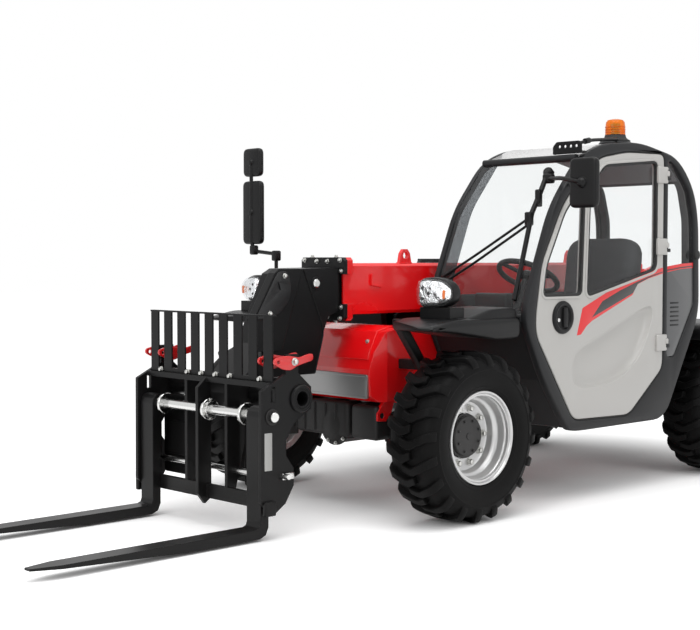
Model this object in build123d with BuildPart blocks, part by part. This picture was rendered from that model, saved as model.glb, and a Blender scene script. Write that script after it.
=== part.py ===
"""Compact telehandler with a one-stage boom, four-wheel steering and a fork carriage.

Frame: +X forward, +Y to the machine's left, +Z up, millimetres.  The origin lies on the
ground under the middle of the machine, between the fork tips and the rear end.
"""

import os
from math import atan, cos, degrees, hypot, pi, sin

from build123d import *

os.makedirs("parts", exist_ok=True)

# Overall machine
WHEELBASE = 2300
OVERALL_WIDTH = 1810
FORK_REACH = 2190
REAR_OVERHANG = 600
MIRROR_REACH = 1105
FRONT_X = (REAR_OVERHANG + WHEELBASE - FORK_REACH) / 2
REAR_X = FRONT_X - WHEELBASE
FIT = 0.3

# Tyres and rims, drawn as many-sided rings so that lug and facet meet
FACETS = 20
PIN_SIDES = 8
ROUND_SIDES = 12
TYRE_RADIUS = 415
TYRE_WIDTH = 300
LUG_DEPTH = 27
LUG_WIDTH = 44
LUG_SLANT = 60
LUG_OVERLAP = 12
CARCASS_RADIUS = TYRE_RADIUS - LUG_DEPTH
SIDE_RADIUS = TYRE_RADIUS - 75
WALL_RADIUS = TYRE_RADIUS - 130
SHOULDER = 34
LUG_INSET = 4
RIM_RADIUS = 227
BEAD_RADIUS = 205
BARREL_RADIUS = BEAD_RADIUS - 15
LIP_RADIUS = BEAD_RADIUS - 8
DISH_RADIUS = BEAD_RADIUS - 29
RIM_INSET = 20
FLANGE = 12
HUB_RADIUS = 108
HUB_CAP = 15
HUB_GAP = 110
TYRE_OUT = OVERALL_WIDTH / 2
TYRE_MID = TYRE_OUT - TYRE_WIDTH / 2

# Axles and steering knuckles
AXLE_Z = TYRE_RADIUS
KINGPIN_Y = TYRE_MID - 165
KINGPIN_RADIUS = 25
SPINDLE_RADIUS = 50
SPINDLE_REACH = 190
YOKE_HALF = 85
KNUCKLE_BLOCK = 64
YOKE_ARM = 25
AXLE_HEIGHT = 120
AXLE_DEPTH = 130
AXLE_CHAMFER = 30

# Frame, cowl and counterweight
FRAME_HALF = 170
FRAME_WALL = 20
FRAME_BOTTOM = AXLE_Z + 105
FRAME_FRONT = FRONT_X - 80
FRAME_REAR = REAR_X - 300
FRAME_TOP = FRAME_BOTTOM + 380
COWL_HALF = 350
COWL_CHAMFER = 45
LUG_PLATE = 20
WEIGHT_HALF = 380
WEIGHT_DROP = 60
WEIGHT_TOP = FRAME_BOTTOM + 316
TOW_SLOT = 60
TOW_BORE = 15
TOW_INSET = 50

# Boom and lift cylinder
BOOM_WIDTH = 260
BOOM_HEIGHT = 262
BOOM_WALL = 12
BOOM_CHAMFER = 15
BOOM_Z = 1121
BOOM_FRONT = FRONT_X + 207
BOOM_REAR = REAR_X - 140
BOOM_PIVOT_X = REAR_X - 220
BOOM_PIVOT_Z = 1130
BOOM_PIN_RADIUS = 40
BOOM_EAR = 40
COLLAR_RIM = 30
COLLAR_DEPTH = 37
COLLAR_GAP = 150
PAD_DEPTH = 26
INNER_WIDTH = 216
INNER_HEIGHT = 218
INNER_WALL = 10
LIFT_FOOT_X = REAR_X + 50
LIFT_FOOT_Z = 600
LIFT_PIN_X = LIFT_FOOT_X + 750
LIFT_PIN_Z = 935
LIFT_EYE_RADIUS = 45
LIFT_EYE_WIDTH = 70
LIFT_PIN_RADIUS = 25
BARREL_OUT = 58
ROD_RADIUS = 32

# Head, carriage and forks
HEAD_HALF = 130
CHEEK = 20
PIVOT_X = FRONT_X + 817
PIVOT_Z = 635
PIVOT_RADIUS = 45
PIVOT_BORE = 35
NOSE_RADIUS = 90
CARRIAGE_HALF = 490
PLATE = 20
SHAFT_X = FRONT_X + 990
SHAFT_Z = 563
SHAFT_RADIUS = 23
COLLAR_RADIUS = 48
COLLAR_WIDTH = 16
FORK_WIDTH = 100
FORK_THICK = 45
FORK_HEEL = 25
FORK_EYE = 45
FORK_OUT = 465
FORK_BOTTOM = 12
FORK_TIP = 10
FORK_TIP_X = FRONT_X + FORK_REACH
GUARD_TOP = 1020
GUARD_FOOT = 716
GUARD_BARS = 9
GUARD_BAR = 62
GUARD_PLATE = 8

# Cab and door
CAB_LEFT = 860
CAB_RIGHT = FRAME_HALF
CAB_WALL = 45
CAB_SKIN = 30
CAB_CORNER = 70
GLASS = 8
GLASS_DEPTH = 14
DOOR_GAP = 6
DOOR_CORNER = 45
DOOR_SWAGE = 10
WINDOW_CORNER = 40
DOOR_HINGE_X = FRONT_X - 1578
DOOR_HINGE_Y = CAB_LEFT + 12
DOOR_HINGE_HEIGHTS = (806, 1342, 1740)
HINGE_PIN = 7
HINGE_SLEEVE = 12
HANDLE_RADIUS = 85

# Engine side
HOOD_INSIDE = FRAME_HALF + 22
HOOD_WALL = 25
HOOD_EDGE = 45
HOOD_HINGE_Y = -HOOD_INSIDE + 11
HOOD_HINGE_Z = 1140
HOOD_HINGE_PLACES = (FRONT_X - 800, FRONT_X - 1400)
GRILLE_SLOTS = 6
GRILLE_SLOT = 20
GRILLE_PITCH = 38
GRILLE_LENGTH = 420

# Lamps, mirrors and beacon
FENDER_TOP = 985
FENDER_OUT = 850
LAMP_Y = 690
LAMP_WIDTH = 236
LAMP_HEIGHT = 136
BRACKET_HEIGHT = 55
MIRROR_THICK = 40
MIRROR_ROUND = 18
MIRROR_ARM = 11
LEFT_MIRROR_Z = 1655
LEFT_MIRROR_WIDTH = 168
LEFT_MIRROR_HEIGHT = 251
RIGHT_MIRROR_WIDTH = 164
RIGHT_MIRROR_Z = 1545
RIGHT_MIRROR_HEIGHT = 370
TOP_MIRROR_Z = 1838
TOP_MIRROR_HEIGHT = 165
ROOF_PAD_Z = 1915
ROOF_PAD_RADIUS = 90
BEACON_TOP = 2042
BEACON_RADIUS = 55
BEACON_SIDES = 12
SHALLOW_BEND = 28


def side_plane(y):
    """Upright plane along the machine at y; sketches read X and Z, extrusions run to the right."""
    return Plane.XZ.offset(-y)


def cross_plane(x):
    """Upright plane across the machine at x; sketches read Y and Z, extrusions run forward."""
    return Plane.YZ.offset(x)


def cone(foot_radius, top_radius, height, sides):
    """A many-sided cone standing on the ground, between two corner radii; the wider end may be on top."""
    if foot_radius < top_radius:
        return Pos(0, 0, height) * Rot(180, 0, 0) * cone(top_radius, foot_radius, height, sides)
    with BuildPart() as form:
        with BuildSketch(Plane.XY):
            RegularPolygon(foot_radius, sides)
        extrude(amount=height, taper=degrees(atan((foot_radius - top_radius) * cos(pi / sides) / height)))
    return form.part


def from_front(points):
    """Outline points with X counted from the front axle."""
    return [(FRONT_X + dx, z) for dx, z in points]


def from_rear(points):
    """Outline points with X counted from the rear axle."""
    return [(REAR_X + dx, z) for dx, z in points]


def bend(before, corner, after):
    """Angle in degrees by which an outline turns at a corner."""
    return (Vector(corner) - Vector(before)).get_angle(Vector(after) - Vector(corner))


def rounded(points, radius):
    """A closed outline with its corners rounded, apart from the shallow ones."""
    after = points[1:] + points[:1]
    sharp = [points[i] for i in range(len(points)) if bend(points[i - 1], points[i], after[i]) > SHALLOW_BEND]
    with BuildSketch() as outline:
        Polygon(*points, align=None)
        fillet([v for v in outline.vertices() if any(hypot(v.X - x, v.Y - z) < FIT for x, z in sharp)], radius)
    return outline.sketch_local


def save(piece, name):
    """Label a finished piece and write it as its own file."""
    piece.label = name
    export_step(piece, f"parts/{name}.step")


WHEELS = (
    ("front_left", FRONT_X, 1),
    ("front_right", FRONT_X, -1),
    ("rear_left", REAR_X, 1),
    ("rear_right", REAR_X, -1),
)

# Tyre, drawn with its axis upright: carcass ring with slanted lugs that reach in from both shoulders by turns
half_tyre = TYRE_WIDTH / 2
half_rim = half_tyre - RIM_INSET
crown_half = half_tyre - SHOULDER
lug_rise = SHOULDER - LUG_INSET
bead_depth = RIM_INSET + FLANGE + FIT
TREAD_CORNER = TYRE_RADIUS / cos(pi / FACETS)
TREAD_SIDE = SIDE_RADIUS + LUG_DEPTH / 2
tread_shoulder = cone(TREAD_CORNER, TREAD_SIDE, lug_rise, FACETS)
wall_shoulder = cone(CARCASS_RADIUS, SIDE_RADIUS, SHOULDER, FACETS)
bead_recess = cone(RIM_RADIUS + 2, WALL_RADIUS, bead_depth, FACETS)
over = Rot(180, 0, 0)
with BuildPart() as tread_form:
    with BuildSketch(Plane.XY.offset(-crown_half)):
        RegularPolygon(TREAD_CORNER, FACETS)
    extrude(amount=2 * crown_half)
    add(Pos(0, 0, crown_half) * tread_shoulder)
    add(over * Pos(0, 0, crown_half) * tread_shoulder)
with BuildPart() as lug_bars:
    for index in range(FACETS):
        turn = 2 * pi * (index + 0.5) / FACETS
        end = 1 if index % 2 else -1
        outward = Plane(origin=(0, 0, 0), x_dir=(-sin(turn), cos(turn), 0), z_dir=(cos(turn), sin(turn), 0))
        with BuildSketch(outward.offset(SIDE_RADIUS - LUG_DEPTH)):
            Polygon(
                (LUG_SLANT / 2 - LUG_WIDTH / 2, end * half_tyre),
                (LUG_SLANT / 2 + LUG_WIDTH / 2, end * half_tyre),
                (LUG_WIDTH / 2 - LUG_SLANT / 2, -end * LUG_OVERLAP),
                (-LUG_WIDTH / 2 - LUG_SLANT / 2, -end * LUG_OVERLAP),
                align=None,
            )
        extrude(amount=TYRE_RADIUS)
    add(tread_form.part, mode=Mode.INTERSECT)
with BuildPart() as tyre_form:
    with BuildSketch(Plane.XY.offset(-crown_half)):
        RegularPolygon(CARCASS_RADIUS, FACETS)
    extrude(amount=2 * crown_half)
    add(Pos(0, 0, crown_half) * wall_shoulder)
    add(over * Pos(0, 0, crown_half) * wall_shoulder)
    add(lug_bars.part)
    add(Pos(0, 0, half_tyre - bead_depth) * bead_recess, mode=Mode.SUBTRACT)
    add(over * Pos(0, 0, half_tyre - bead_depth) * bead_recess, mode=Mode.SUBTRACT)
    with BuildSketch(Plane.XY.offset(-half_tyre)):
        RegularPolygon(BEAD_RADIUS + FIT, FACETS)
    extrude(amount=TYRE_WIDTH, mode=Mode.SUBTRACT)

# Rim, drawn with its outer side up: barrel with two flanges, a dished disc and the hub on its spindle bore
hub_back = KINGPIN_Y + HUB_GAP - TYRE_MID
disc_back = hub_back + 45
disc_face = disc_back + 15
hub_face = hub_back + 100
dish = cone(DISH_RADIUS, LIP_RADIUS, half_rim - disc_face, FACETS)
with BuildPart() as rim_form:
    with BuildSketch(Plane.XY.offset(-half_rim)):
        RegularPolygon(BEAD_RADIUS, FACETS)
    extrude(amount=2 * half_rim)
    for flange_z in (-half_rim, half_rim - FLANGE):
        with BuildSketch(Plane.XY.offset(flange_z)):
            RegularPolygon(RIM_RADIUS, FACETS)
        extrude(amount=FLANGE)
    with BuildSketch(Plane.XY.offset(-half_rim)):
        RegularPolygon(BARREL_RADIUS, ROUND_SIDES)
    extrude(amount=half_rim + disc_back, mode=Mode.SUBTRACT)
    add(Pos(0, 0, disc_face) * dish, mode=Mode.SUBTRACT)
    with BuildSketch(Plane.XY.offset(hub_back)):
        RegularPolygon(HUB_RADIUS, ROUND_SIDES)
    extrude(amount=hub_face - hub_back)
    with BuildSketch(Plane.XY.offset(hub_back)):
        Circle(SPINDLE_RADIUS + FIT)
    extrude(amount=hub_face - HUB_CAP - hub_back, mode=Mode.SUBTRACT)

# Wheels: the upright forms are laid on their axles with a lug downwards, the outer side to the left or right
for place, wheel_x, side in WHEELS:
    wheel_place = Pos(wheel_x, side * TYRE_MID, AXLE_Z) * Rot(-90 * side, 0, 0) * Rot(0, 0, 180 / FACETS)
    with BuildPart() as tyre:
        add(wheel_place * tyre_form.part)
    save(tyre.part, f"tyre_{place}")

    with BuildPart() as rim:
        add(wheel_place * rim_form.part)
    save(rim.part, f"rim_{place}")

    with BuildPart() as knuckle:
        with BuildSketch(Plane.XY.offset(AXLE_Z - YOKE_HALF + 5)):
            with Locations((wheel_x, side * KINGPIN_Y)):
                Rectangle(KNUCKLE_BLOCK, KNUCKLE_BLOCK)
        extrude(amount=2 * YOKE_HALF - 10)
        with BuildSketch(Plane.XY.offset(AXLE_Z - YOKE_HALF - YOKE_ARM - 2)):
            with Locations((wheel_x, side * KINGPIN_Y)):
                RegularPolygon(KINGPIN_RADIUS, PIN_SIDES)
        extrude(amount=2 * (YOKE_HALF + YOKE_ARM + 2))
        with BuildSketch(side_plane(side * (KINGPIN_Y + 40))):
            with Locations((wheel_x, AXLE_Z)):
                RegularPolygon(YOKE_HALF - 5, 8)
        extrude(amount=-side * 65)
        with BuildSketch(side_plane(side * KINGPIN_Y)):
            with Locations((wheel_x, AXLE_Z)):
                RegularPolygon(SPINDLE_RADIUS, ROUND_SIDES)
        extrude(amount=-side * SPINDLE_REACH)
    save(knuckle.part, f"knuckle_{place}")

# Axle housings with a yoke at each end
for axle_name, axle_x in (("front_axle", FRONT_X), ("rear_axle", REAR_X)):
    with BuildPart() as axle:
        with BuildSketch(side_plane(KINGPIN_Y - 75)) as beam:
            with Locations((axle_x, AXLE_Z)):
                Rectangle(AXLE_DEPTH, AXLE_HEIGHT)
            chamfer(beam.vertices(), AXLE_CHAMFER)
        extrude(amount=2 * (KINGPIN_Y - 75))
        with BuildSketch(cross_plane(axle_x - 150)):
            with Locations((0, AXLE_Z)):
                RegularPolygon(100, 8)
        extrude(amount=300)
        with BuildSketch(Plane.XY.offset(AXLE_Z + 40)):
            with Locations((axle_x, FRAME_HALF - 40), (axle_x, 40 - FRAME_HALF)):
                Rectangle(170, 80)
        extrude(amount=FRAME_BOTTOM - AXLE_Z - 40)
        for side in (1, -1):
            with BuildSketch(side_plane(side * (KINGPIN_Y - 52))):
                with Locations((axle_x, AXLE_Z)):
                    Rectangle(84, 2 * (YOKE_HALF + YOKE_ARM))
            extrude(amount=side * 40)
            for arm_z in (AXLE_Z + YOKE_HALF, AXLE_Z - YOKE_HALF - YOKE_ARM):
                with BuildSketch(Plane.XY.offset(arm_z)):
                    Polygon(
                        (axle_x - 42, side * (KINGPIN_Y - 60)),
                        (axle_x + 42, side * (KINGPIN_Y - 60)),
                        (axle_x + 42, side * (KINGPIN_Y + 16)),
                        (axle_x + 20, side * (KINGPIN_Y + 40)),
                        (axle_x - 20, side * (KINGPIN_Y + 40)),
                        (axle_x - 42, side * (KINGPIN_Y + 16)),
                        align=None,
                    )
                extrude(amount=YOKE_ARM)
            with BuildSketch(Plane.XY.offset(AXLE_Z)):
                with Locations((axle_x, side * KINGPIN_Y)):
                    Circle(KINGPIN_RADIUS + FIT)
            extrude(amount=YOKE_HALF + YOKE_ARM, mode=Mode.SUBTRACT)
            with BuildSketch(Plane.XY.offset(AXLE_Z - YOKE_HALF - YOKE_ARM)):
                with Locations((axle_x, side * KINGPIN_Y)):
                    RegularPolygon(KINGPIN_RADIUS + FIT, ROUND_SIDES, major_radius=False)
            extrude(amount=YOKE_ARM, mode=Mode.SUBTRACT)
    save(axle.part, axle_name)

# Main frame: two side plates, cross plates, boom towers with the pivot pin
frame_profile = [(FRAME_FRONT, FRAME_BOTTOM), (FRAME_FRONT, FRAME_TOP), (FRAME_FRONT - 340, FRAME_TOP)]
frame_profile += [(FRAME_FRONT - 620, FRAME_TOP - 110)]
frame_profile += from_rear([(420, FRAME_TOP - 110), (60, 960), (-120, 1205), (-220, 1232), (-300, 1190)])
frame_profile += [(FRAME_REAR, FRAME_BOTTOM)]
with BuildPart() as main_frame:
    for side_y in (FRAME_HALF, FRAME_WALL - FRAME_HALF):
        with BuildSketch(side_plane(side_y)):
            Polygon(*frame_profile, align=None)
        extrude(amount=FRAME_WALL)
    with BuildSketch(Plane.XY.offset(FRAME_BOTTOM)):
        with Locations(((FRAME_FRONT + REAR_X + 200) / 2, 0)):
            Rectangle(FRAME_FRONT - REAR_X - 200, 2 * FRAME_HALF)
        with Locations((FRAME_REAR + 50, 0)):
            Rectangle(100, 2 * FRAME_HALF)
    extrude(amount=FRAME_WALL)
    for wall_x, wall_top in ((FRAME_FRONT - FRAME_WALL, FRAME_TOP), (FRAME_REAR, FRAME_TOP + 40)):
        with BuildSketch(cross_plane(wall_x)):
            with Locations((0, (FRAME_BOTTOM + wall_top) / 2)):
                Rectangle(2 * FRAME_HALF, wall_top - FRAME_BOTTOM)
        extrude(amount=FRAME_WALL)
    with BuildSketch(side_plane(FRAME_HALF)):
        with Locations((BOOM_PIVOT_X, BOOM_PIVOT_Z)):
            RegularPolygon(BOOM_PIN_RADIUS, ROUND_SIDES)
        with Locations((LIFT_FOOT_X, LIFT_FOOT_Z)):
            RegularPolygon(LIFT_PIN_RADIUS, PIN_SIDES)
    extrude(amount=2 * FRAME_HALF)
    boss = FRAME_HALF - BOOM_WIDTH / 2 - 5
    for boss_y in (FRAME_HALF, boss - FRAME_HALF):
        with BuildSketch(side_plane(boss_y)):
            with Locations((BOOM_PIVOT_X, BOOM_PIVOT_Z)):
                RegularPolygon(BOOM_PIN_RADIUS + 30, ROUND_SIDES)
        extrude(amount=boss)
save(main_frame.part, "main_frame")

# Front cowl: three facets over a flat nose, chamfered sides, two tow lugs underneath
cowl_profile = from_front([
    (-80, 555), (150, 555), (190, 585), (196, 720), (176, 800), (120, 905), (40, 925), (-80, 930),
])
with BuildPart() as front_cowl:
    with BuildSketch(side_plane(COWL_HALF)):
        Polygon(*cowl_profile, align=None)
    extrude(amount=2 * COWL_HALF)
    with BuildSketch(Plane.XY.offset(FRAME_BOTTOM)):
        for side in (1, -1):
            Polygon(
                (FRONT_X + 200, side * (COWL_HALF - COWL_CHAMFER)),
                (FRONT_X + 200, side * (COWL_HALF + 1)),
                (FRONT_X + 200 - 2 * COWL_CHAMFER, side * (COWL_HALF + 1)),
                align=None,
            )
    extrude(amount=2 * FRAME_TOP, mode=Mode.SUBTRACT)
    for lug_y in (COWL_HALF - LUG_PLATE, 2 * LUG_PLATE - COWL_HALF):
        with BuildSketch(side_plane(lug_y)):
            Polygon(*from_front([(40, 560), (110, 560), (160, 500), (160, 460), (100, 455), (60, 500)]), align=None)
            with Locations((FRONT_X + 128, 485)):
                RegularPolygon(16, PIN_SIDES, mode=Mode.SUBTRACT)
        extrude(amount=LUG_PLATE)
save(front_cowl.part, "front_cowl")

# Counterweight between the rear wheels, with the tow pin's slot and bore
weight_bottom = FRAME_BOTTOM - WEIGHT_DROP
weight_profile = [(FRAME_REAR, weight_bottom)]
weight_profile += from_rear([
    (60 - REAR_OVERHANG, weight_bottom), (-REAR_OVERHANG, FRAME_BOTTOM),
    (-REAR_OVERHANG, WEIGHT_TOP - 66), (60 - REAR_OVERHANG, WEIGHT_TOP),
])
weight_profile += [(FRAME_REAR, WEIGHT_TOP)]
with BuildPart() as counterweight:
    with BuildSketch(side_plane(WEIGHT_HALF)):
        Polygon(*weight_profile, align=None)
    extrude(amount=2 * WEIGHT_HALF)
    with BuildSketch(Plane.XY.offset(weight_bottom)):
        for side in (1, -1):
            Polygon(
                (REAR_X - REAR_OVERHANG, side * (WEIGHT_HALF - 130)),
                (REAR_X - REAR_OVERHANG, side * WEIGHT_HALF),
                (REAR_X - REAR_OVERHANG + 90, side * WEIGHT_HALF),
                align=None,
            )
    extrude(amount=WEIGHT_TOP - weight_bottom, mode=Mode.SUBTRACT)
    with BuildSketch(cross_plane(REAR_X - REAR_OVERHANG)):
        with Locations((0, FRAME_BOTTOM + TOW_SLOT + 10)):
            Rectangle(110, TOW_SLOT)
    extrude(amount=90, mode=Mode.SUBTRACT)
    with BuildSketch(Plane.XY.offset(weight_bottom)):
        with Locations((REAR_X - REAR_OVERHANG + TOW_INSET, 0)):
            Circle(TOW_BORE)
    extrude(amount=TOW_SLOT + 160, mode=Mode.SUBTRACT)
save(counterweight.part, "counterweight")

# Outer boom: box tube with a split front collar, rear pivot ears, lift lugs and lifting eyes
with BuildPart() as outer_boom:
    with BuildSketch(cross_plane(BOOM_REAR)) as tube_section:
        with Locations((0, BOOM_Z)):
            Rectangle(BOOM_WIDTH, BOOM_HEIGHT)
        chamfer(tube_section.vertices(), BOOM_CHAMFER)
    extrude(amount=BOOM_FRONT - BOOM_REAR)
    with BuildSketch(cross_plane(BOOM_FRONT - COLLAR_DEPTH)) as collar_section:
        with Locations((0, BOOM_Z)):
            Rectangle(BOOM_WIDTH + 2 * COLLAR_RIM, BOOM_HEIGHT + 2 * COLLAR_RIM)
        chamfer(collar_section.vertices(), BOOM_CHAMFER)
        with Locations((0, BOOM_Z)):
            Rectangle(2 * BOOM_WIDTH, COLLAR_GAP, mode=Mode.SUBTRACT)
    extrude(amount=COLLAR_DEPTH)
    with BuildSketch(cross_plane(BOOM_REAR + FRAME_WALL)):
        with Locations((0, BOOM_Z)):
            Rectangle(BOOM_WIDTH - 2 * BOOM_WALL, BOOM_HEIGHT - 2 * BOOM_WALL)
    extrude(amount=BOOM_FRONT - BOOM_REAR, mode=Mode.SUBTRACT)
    ear_half = 2 * BOOM_PIN_RADIUS
    for ear_y in (BOOM_WIDTH / 2, BOOM_EAR - BOOM_WIDTH / 2):
        with BuildSketch(side_plane(ear_y)):
            with Locations(((BOOM_REAR + 30 + BOOM_PIVOT_X) / 2, BOOM_PIVOT_Z)):
                Rectangle(BOOM_REAR + 30 - BOOM_PIVOT_X, 2 * ear_half)
            with Locations((BOOM_PIVOT_X, BOOM_PIVOT_Z)):
                RegularPolygon(ear_half, ROUND_SIDES)
                Circle(BOOM_PIN_RADIUS + FIT, mode=Mode.SUBTRACT)
        extrude(amount=BOOM_EAR)
    boom_under = BOOM_Z - BOOM_HEIGHT / 2 + 2
    for lug_y in (LIFT_EYE_WIDTH / 2 + LUG_PLATE + 5, -LIFT_EYE_WIDTH / 2 - 5):
        with BuildSketch(side_plane(lug_y)):
            Polygon(
                (LIFT_PIN_X - 130, boom_under),
                (LIFT_PIN_X - LIFT_EYE_RADIUS, LIFT_PIN_Z - LIFT_EYE_RADIUS),
                (LIFT_PIN_X + LIFT_EYE_RADIUS, LIFT_PIN_Z - LIFT_EYE_RADIUS),
                (LIFT_PIN_X + 130, boom_under),
                align=None,
            )
        extrude(amount=LUG_PLATE)
    boom_top = BOOM_Z + BOOM_HEIGHT / 2
    for eye_x in (FRONT_X - 262, REAR_X + 600):
        with BuildSketch(side_plane(BOOM_WIDTH / 2 - BOOM_CHAMFER)):
            Polygon(
                (eye_x - 46, boom_top - 4),
                (eye_x + 46, boom_top - 4),
                (eye_x + 34, boom_top + 52),
                (eye_x + 15, boom_top + 74),
                (eye_x - 15, boom_top + 74),
                (eye_x - 34, boom_top + 52),
                align=None,
            )
            with Locations((eye_x, boom_top + 40)):
                RegularPolygon(19, PIN_SIDES, mode=Mode.SUBTRACT)
        extrude(amount=LUG_PLATE)
save(outer_boom.part, "outer_boom")

# Wear pads: an upper and a lower cap bolted to the boom's split collar
with BuildPart() as boom_pads:
    with BuildSketch(cross_plane(BOOM_FRONT)) as pad_section:
        with Locations((0, BOOM_Z)):
            Rectangle(BOOM_WIDTH + 2 * COLLAR_RIM, BOOM_HEIGHT + 2 * COLLAR_RIM)
        chamfer(pad_section.vertices(), BOOM_CHAMFER)
        with Locations((0, BOOM_Z)):
            Rectangle(INNER_WIDTH + 2 * FIT, INNER_HEIGHT + 2 * FIT, mode=Mode.SUBTRACT)
            Rectangle(2 * BOOM_WIDTH, COLLAR_GAP, mode=Mode.SUBTRACT)
    extrude(amount=PAD_DEPTH)
save(boom_pads.part, "boom_pads")

# Inner boom with the bent head that carries the carriage's pin, and a cover plate on its left cheek
INNER_REAR = BOOM_REAR + 140
HEAD_BACK = BOOM_FRONT + PAD_DEPTH + 8
inner_top = BOOM_Z + INNER_HEIGHT / 2
inner_bottom = BOOM_Z - INNER_HEIGHT / 2
head_profile = [(HEAD_BACK, inner_bottom), (HEAD_BACK, inner_top)]
head_profile += from_front([(478, 1226), (528, 1200), (690, 860)])
head_profile += [
    (PIVOT_X + NOSE_RADIUS * 0.87, PIVOT_Z + NOSE_RADIUS * 0.5),
    (PIVOT_X - 20, PIVOT_Z - 60),
    (PIVOT_X - NOSE_RADIUS, PIVOT_Z + 67),
]
head_profile += from_front([(404, 702), (342, 915), (310, 985)])
cheek_outline = from_front([(500, 1226), (655, 1226), (680, 1206), (812, 990), (812, 970), (790, 830), (636, 830)])
with BuildPart() as inner_boom:
    with BuildSketch(cross_plane(INNER_REAR)) as inner_section:
        with Locations((0, BOOM_Z)):
            Rectangle(INNER_WIDTH, INNER_HEIGHT)
        chamfer(inner_section.vertices(), BOOM_CHAMFER / 2)
        with Locations((0, BOOM_Z)):
            Rectangle(INNER_WIDTH - 2 * INNER_WALL, INNER_HEIGHT - 2 * INNER_WALL, mode=Mode.SUBTRACT)
    extrude(amount=HEAD_BACK + 50 - INNER_REAR)
    with BuildSketch(side_plane(HEAD_HALF)):
        Polygon(*head_profile, align=None)
        with Locations((PIVOT_X, PIVOT_Z)):
            RegularPolygon(NOSE_RADIUS, ROUND_SIDES)
    extrude(amount=2 * HEAD_HALF)
    with BuildSketch(side_plane(HEAD_HALF + CHEEK)):
        Polygon(*cheek_outline, align=None)
    extrude(amount=CHEEK + 30)
    with BuildSketch(side_plane(HEAD_HALF)):
        with Locations((PIVOT_X, PIVOT_Z)):
            Circle(PIVOT_RADIUS + FIT)
    extrude(amount=2 * HEAD_HALF, mode=Mode.SUBTRACT)
save(inner_boom.part, "inner_boom")

# Lift cylinder: barrel on the frame's pin, rod with its eye between the boom's lugs
lift_run = LIFT_PIN_X - LIFT_FOOT_X
lift_rise = LIFT_PIN_Z - LIFT_FOOT_Z
lift_length = hypot(lift_run, lift_rise)
lift_dir = (lift_run / lift_length, 0, lift_rise / lift_length)
BARREL_LENGTH = lift_length - 110
BARREL_FOOT = 38
ROD_FOOT = 90
lift_plane = Plane(origin=(LIFT_FOOT_X, 0, LIFT_FOOT_Z), x_dir=(0, 1, 0), z_dir=lift_dir)
with BuildPart() as lift_barrel:
    with BuildSketch(lift_plane.offset(BARREL_FOOT)):
        RegularPolygon(BARREL_OUT, ROUND_SIDES)
    extrude(amount=BARREL_LENGTH - BARREL_FOOT)
    with BuildSketch(side_plane(LIFT_EYE_WIDTH / 2)):
        with Locations((LIFT_FOOT_X, LIFT_FOOT_Z)):
            RegularPolygon(LIFT_EYE_RADIUS, ROUND_SIDES)
    extrude(amount=LIFT_EYE_WIDTH)
    with BuildSketch(side_plane(BARREL_OUT)):
        with Locations((LIFT_FOOT_X, LIFT_FOOT_Z)):
            Circle(LIFT_PIN_RADIUS + FIT)
    extrude(amount=2 * BARREL_OUT, mode=Mode.SUBTRACT)
    with BuildSketch(lift_plane.offset(ROD_FOOT - 10)):
        RegularPolygon(ROD_RADIUS + FIT, ROUND_SIDES)
    extrude(amount=BARREL_LENGTH, mode=Mode.SUBTRACT)
save(lift_barrel.part, "lift_barrel")

with BuildPart() as lift_rod:
    with BuildSketch(lift_plane.offset(ROD_FOOT)):
        RegularPolygon(ROD_RADIUS, ROUND_SIDES)
    extrude(amount=lift_length - ROD_FOOT)
    with BuildSketch(side_plane(LIFT_EYE_WIDTH / 2)):
        with Locations((LIFT_PIN_X, LIFT_PIN_Z)):
            RegularPolygon(LIFT_EYE_RADIUS, ROUND_SIDES)
    extrude(amount=LIFT_EYE_WIDTH)
    with BuildSketch(side_plane(LIFT_EYE_WIDTH / 2)):
        with Locations((LIFT_PIN_X, LIFT_PIN_Z)):
            RegularPolygon(LIFT_PIN_RADIUS - 3, PIN_SIDES)
    extrude(amount=LIFT_EYE_WIDTH, mode=Mode.SUBTRACT)
save(lift_rod.part, "lift_rod")

# Hollow pivot tube of the carriage
PIN_END = 14
with BuildPart() as carriage_pin:
    with BuildSketch(side_plane(CARRIAGE_HALF + PIN_END)):
        with Locations((PIVOT_X, PIVOT_Z)):
            Circle(PIVOT_RADIUS)
            RegularPolygon(PIVOT_BORE, ROUND_SIDES, mode=Mode.SUBTRACT)
    extrude(amount=2 * (CARRIAGE_HALF + PIN_END))
save(carriage_pin.part, "carriage_pin")

LEVER = 12
LEVER_INSET = 110
LEVER_X = FRONT_X + 865
LEVER_Z = 807
LEVER_ROD = 9

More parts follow.
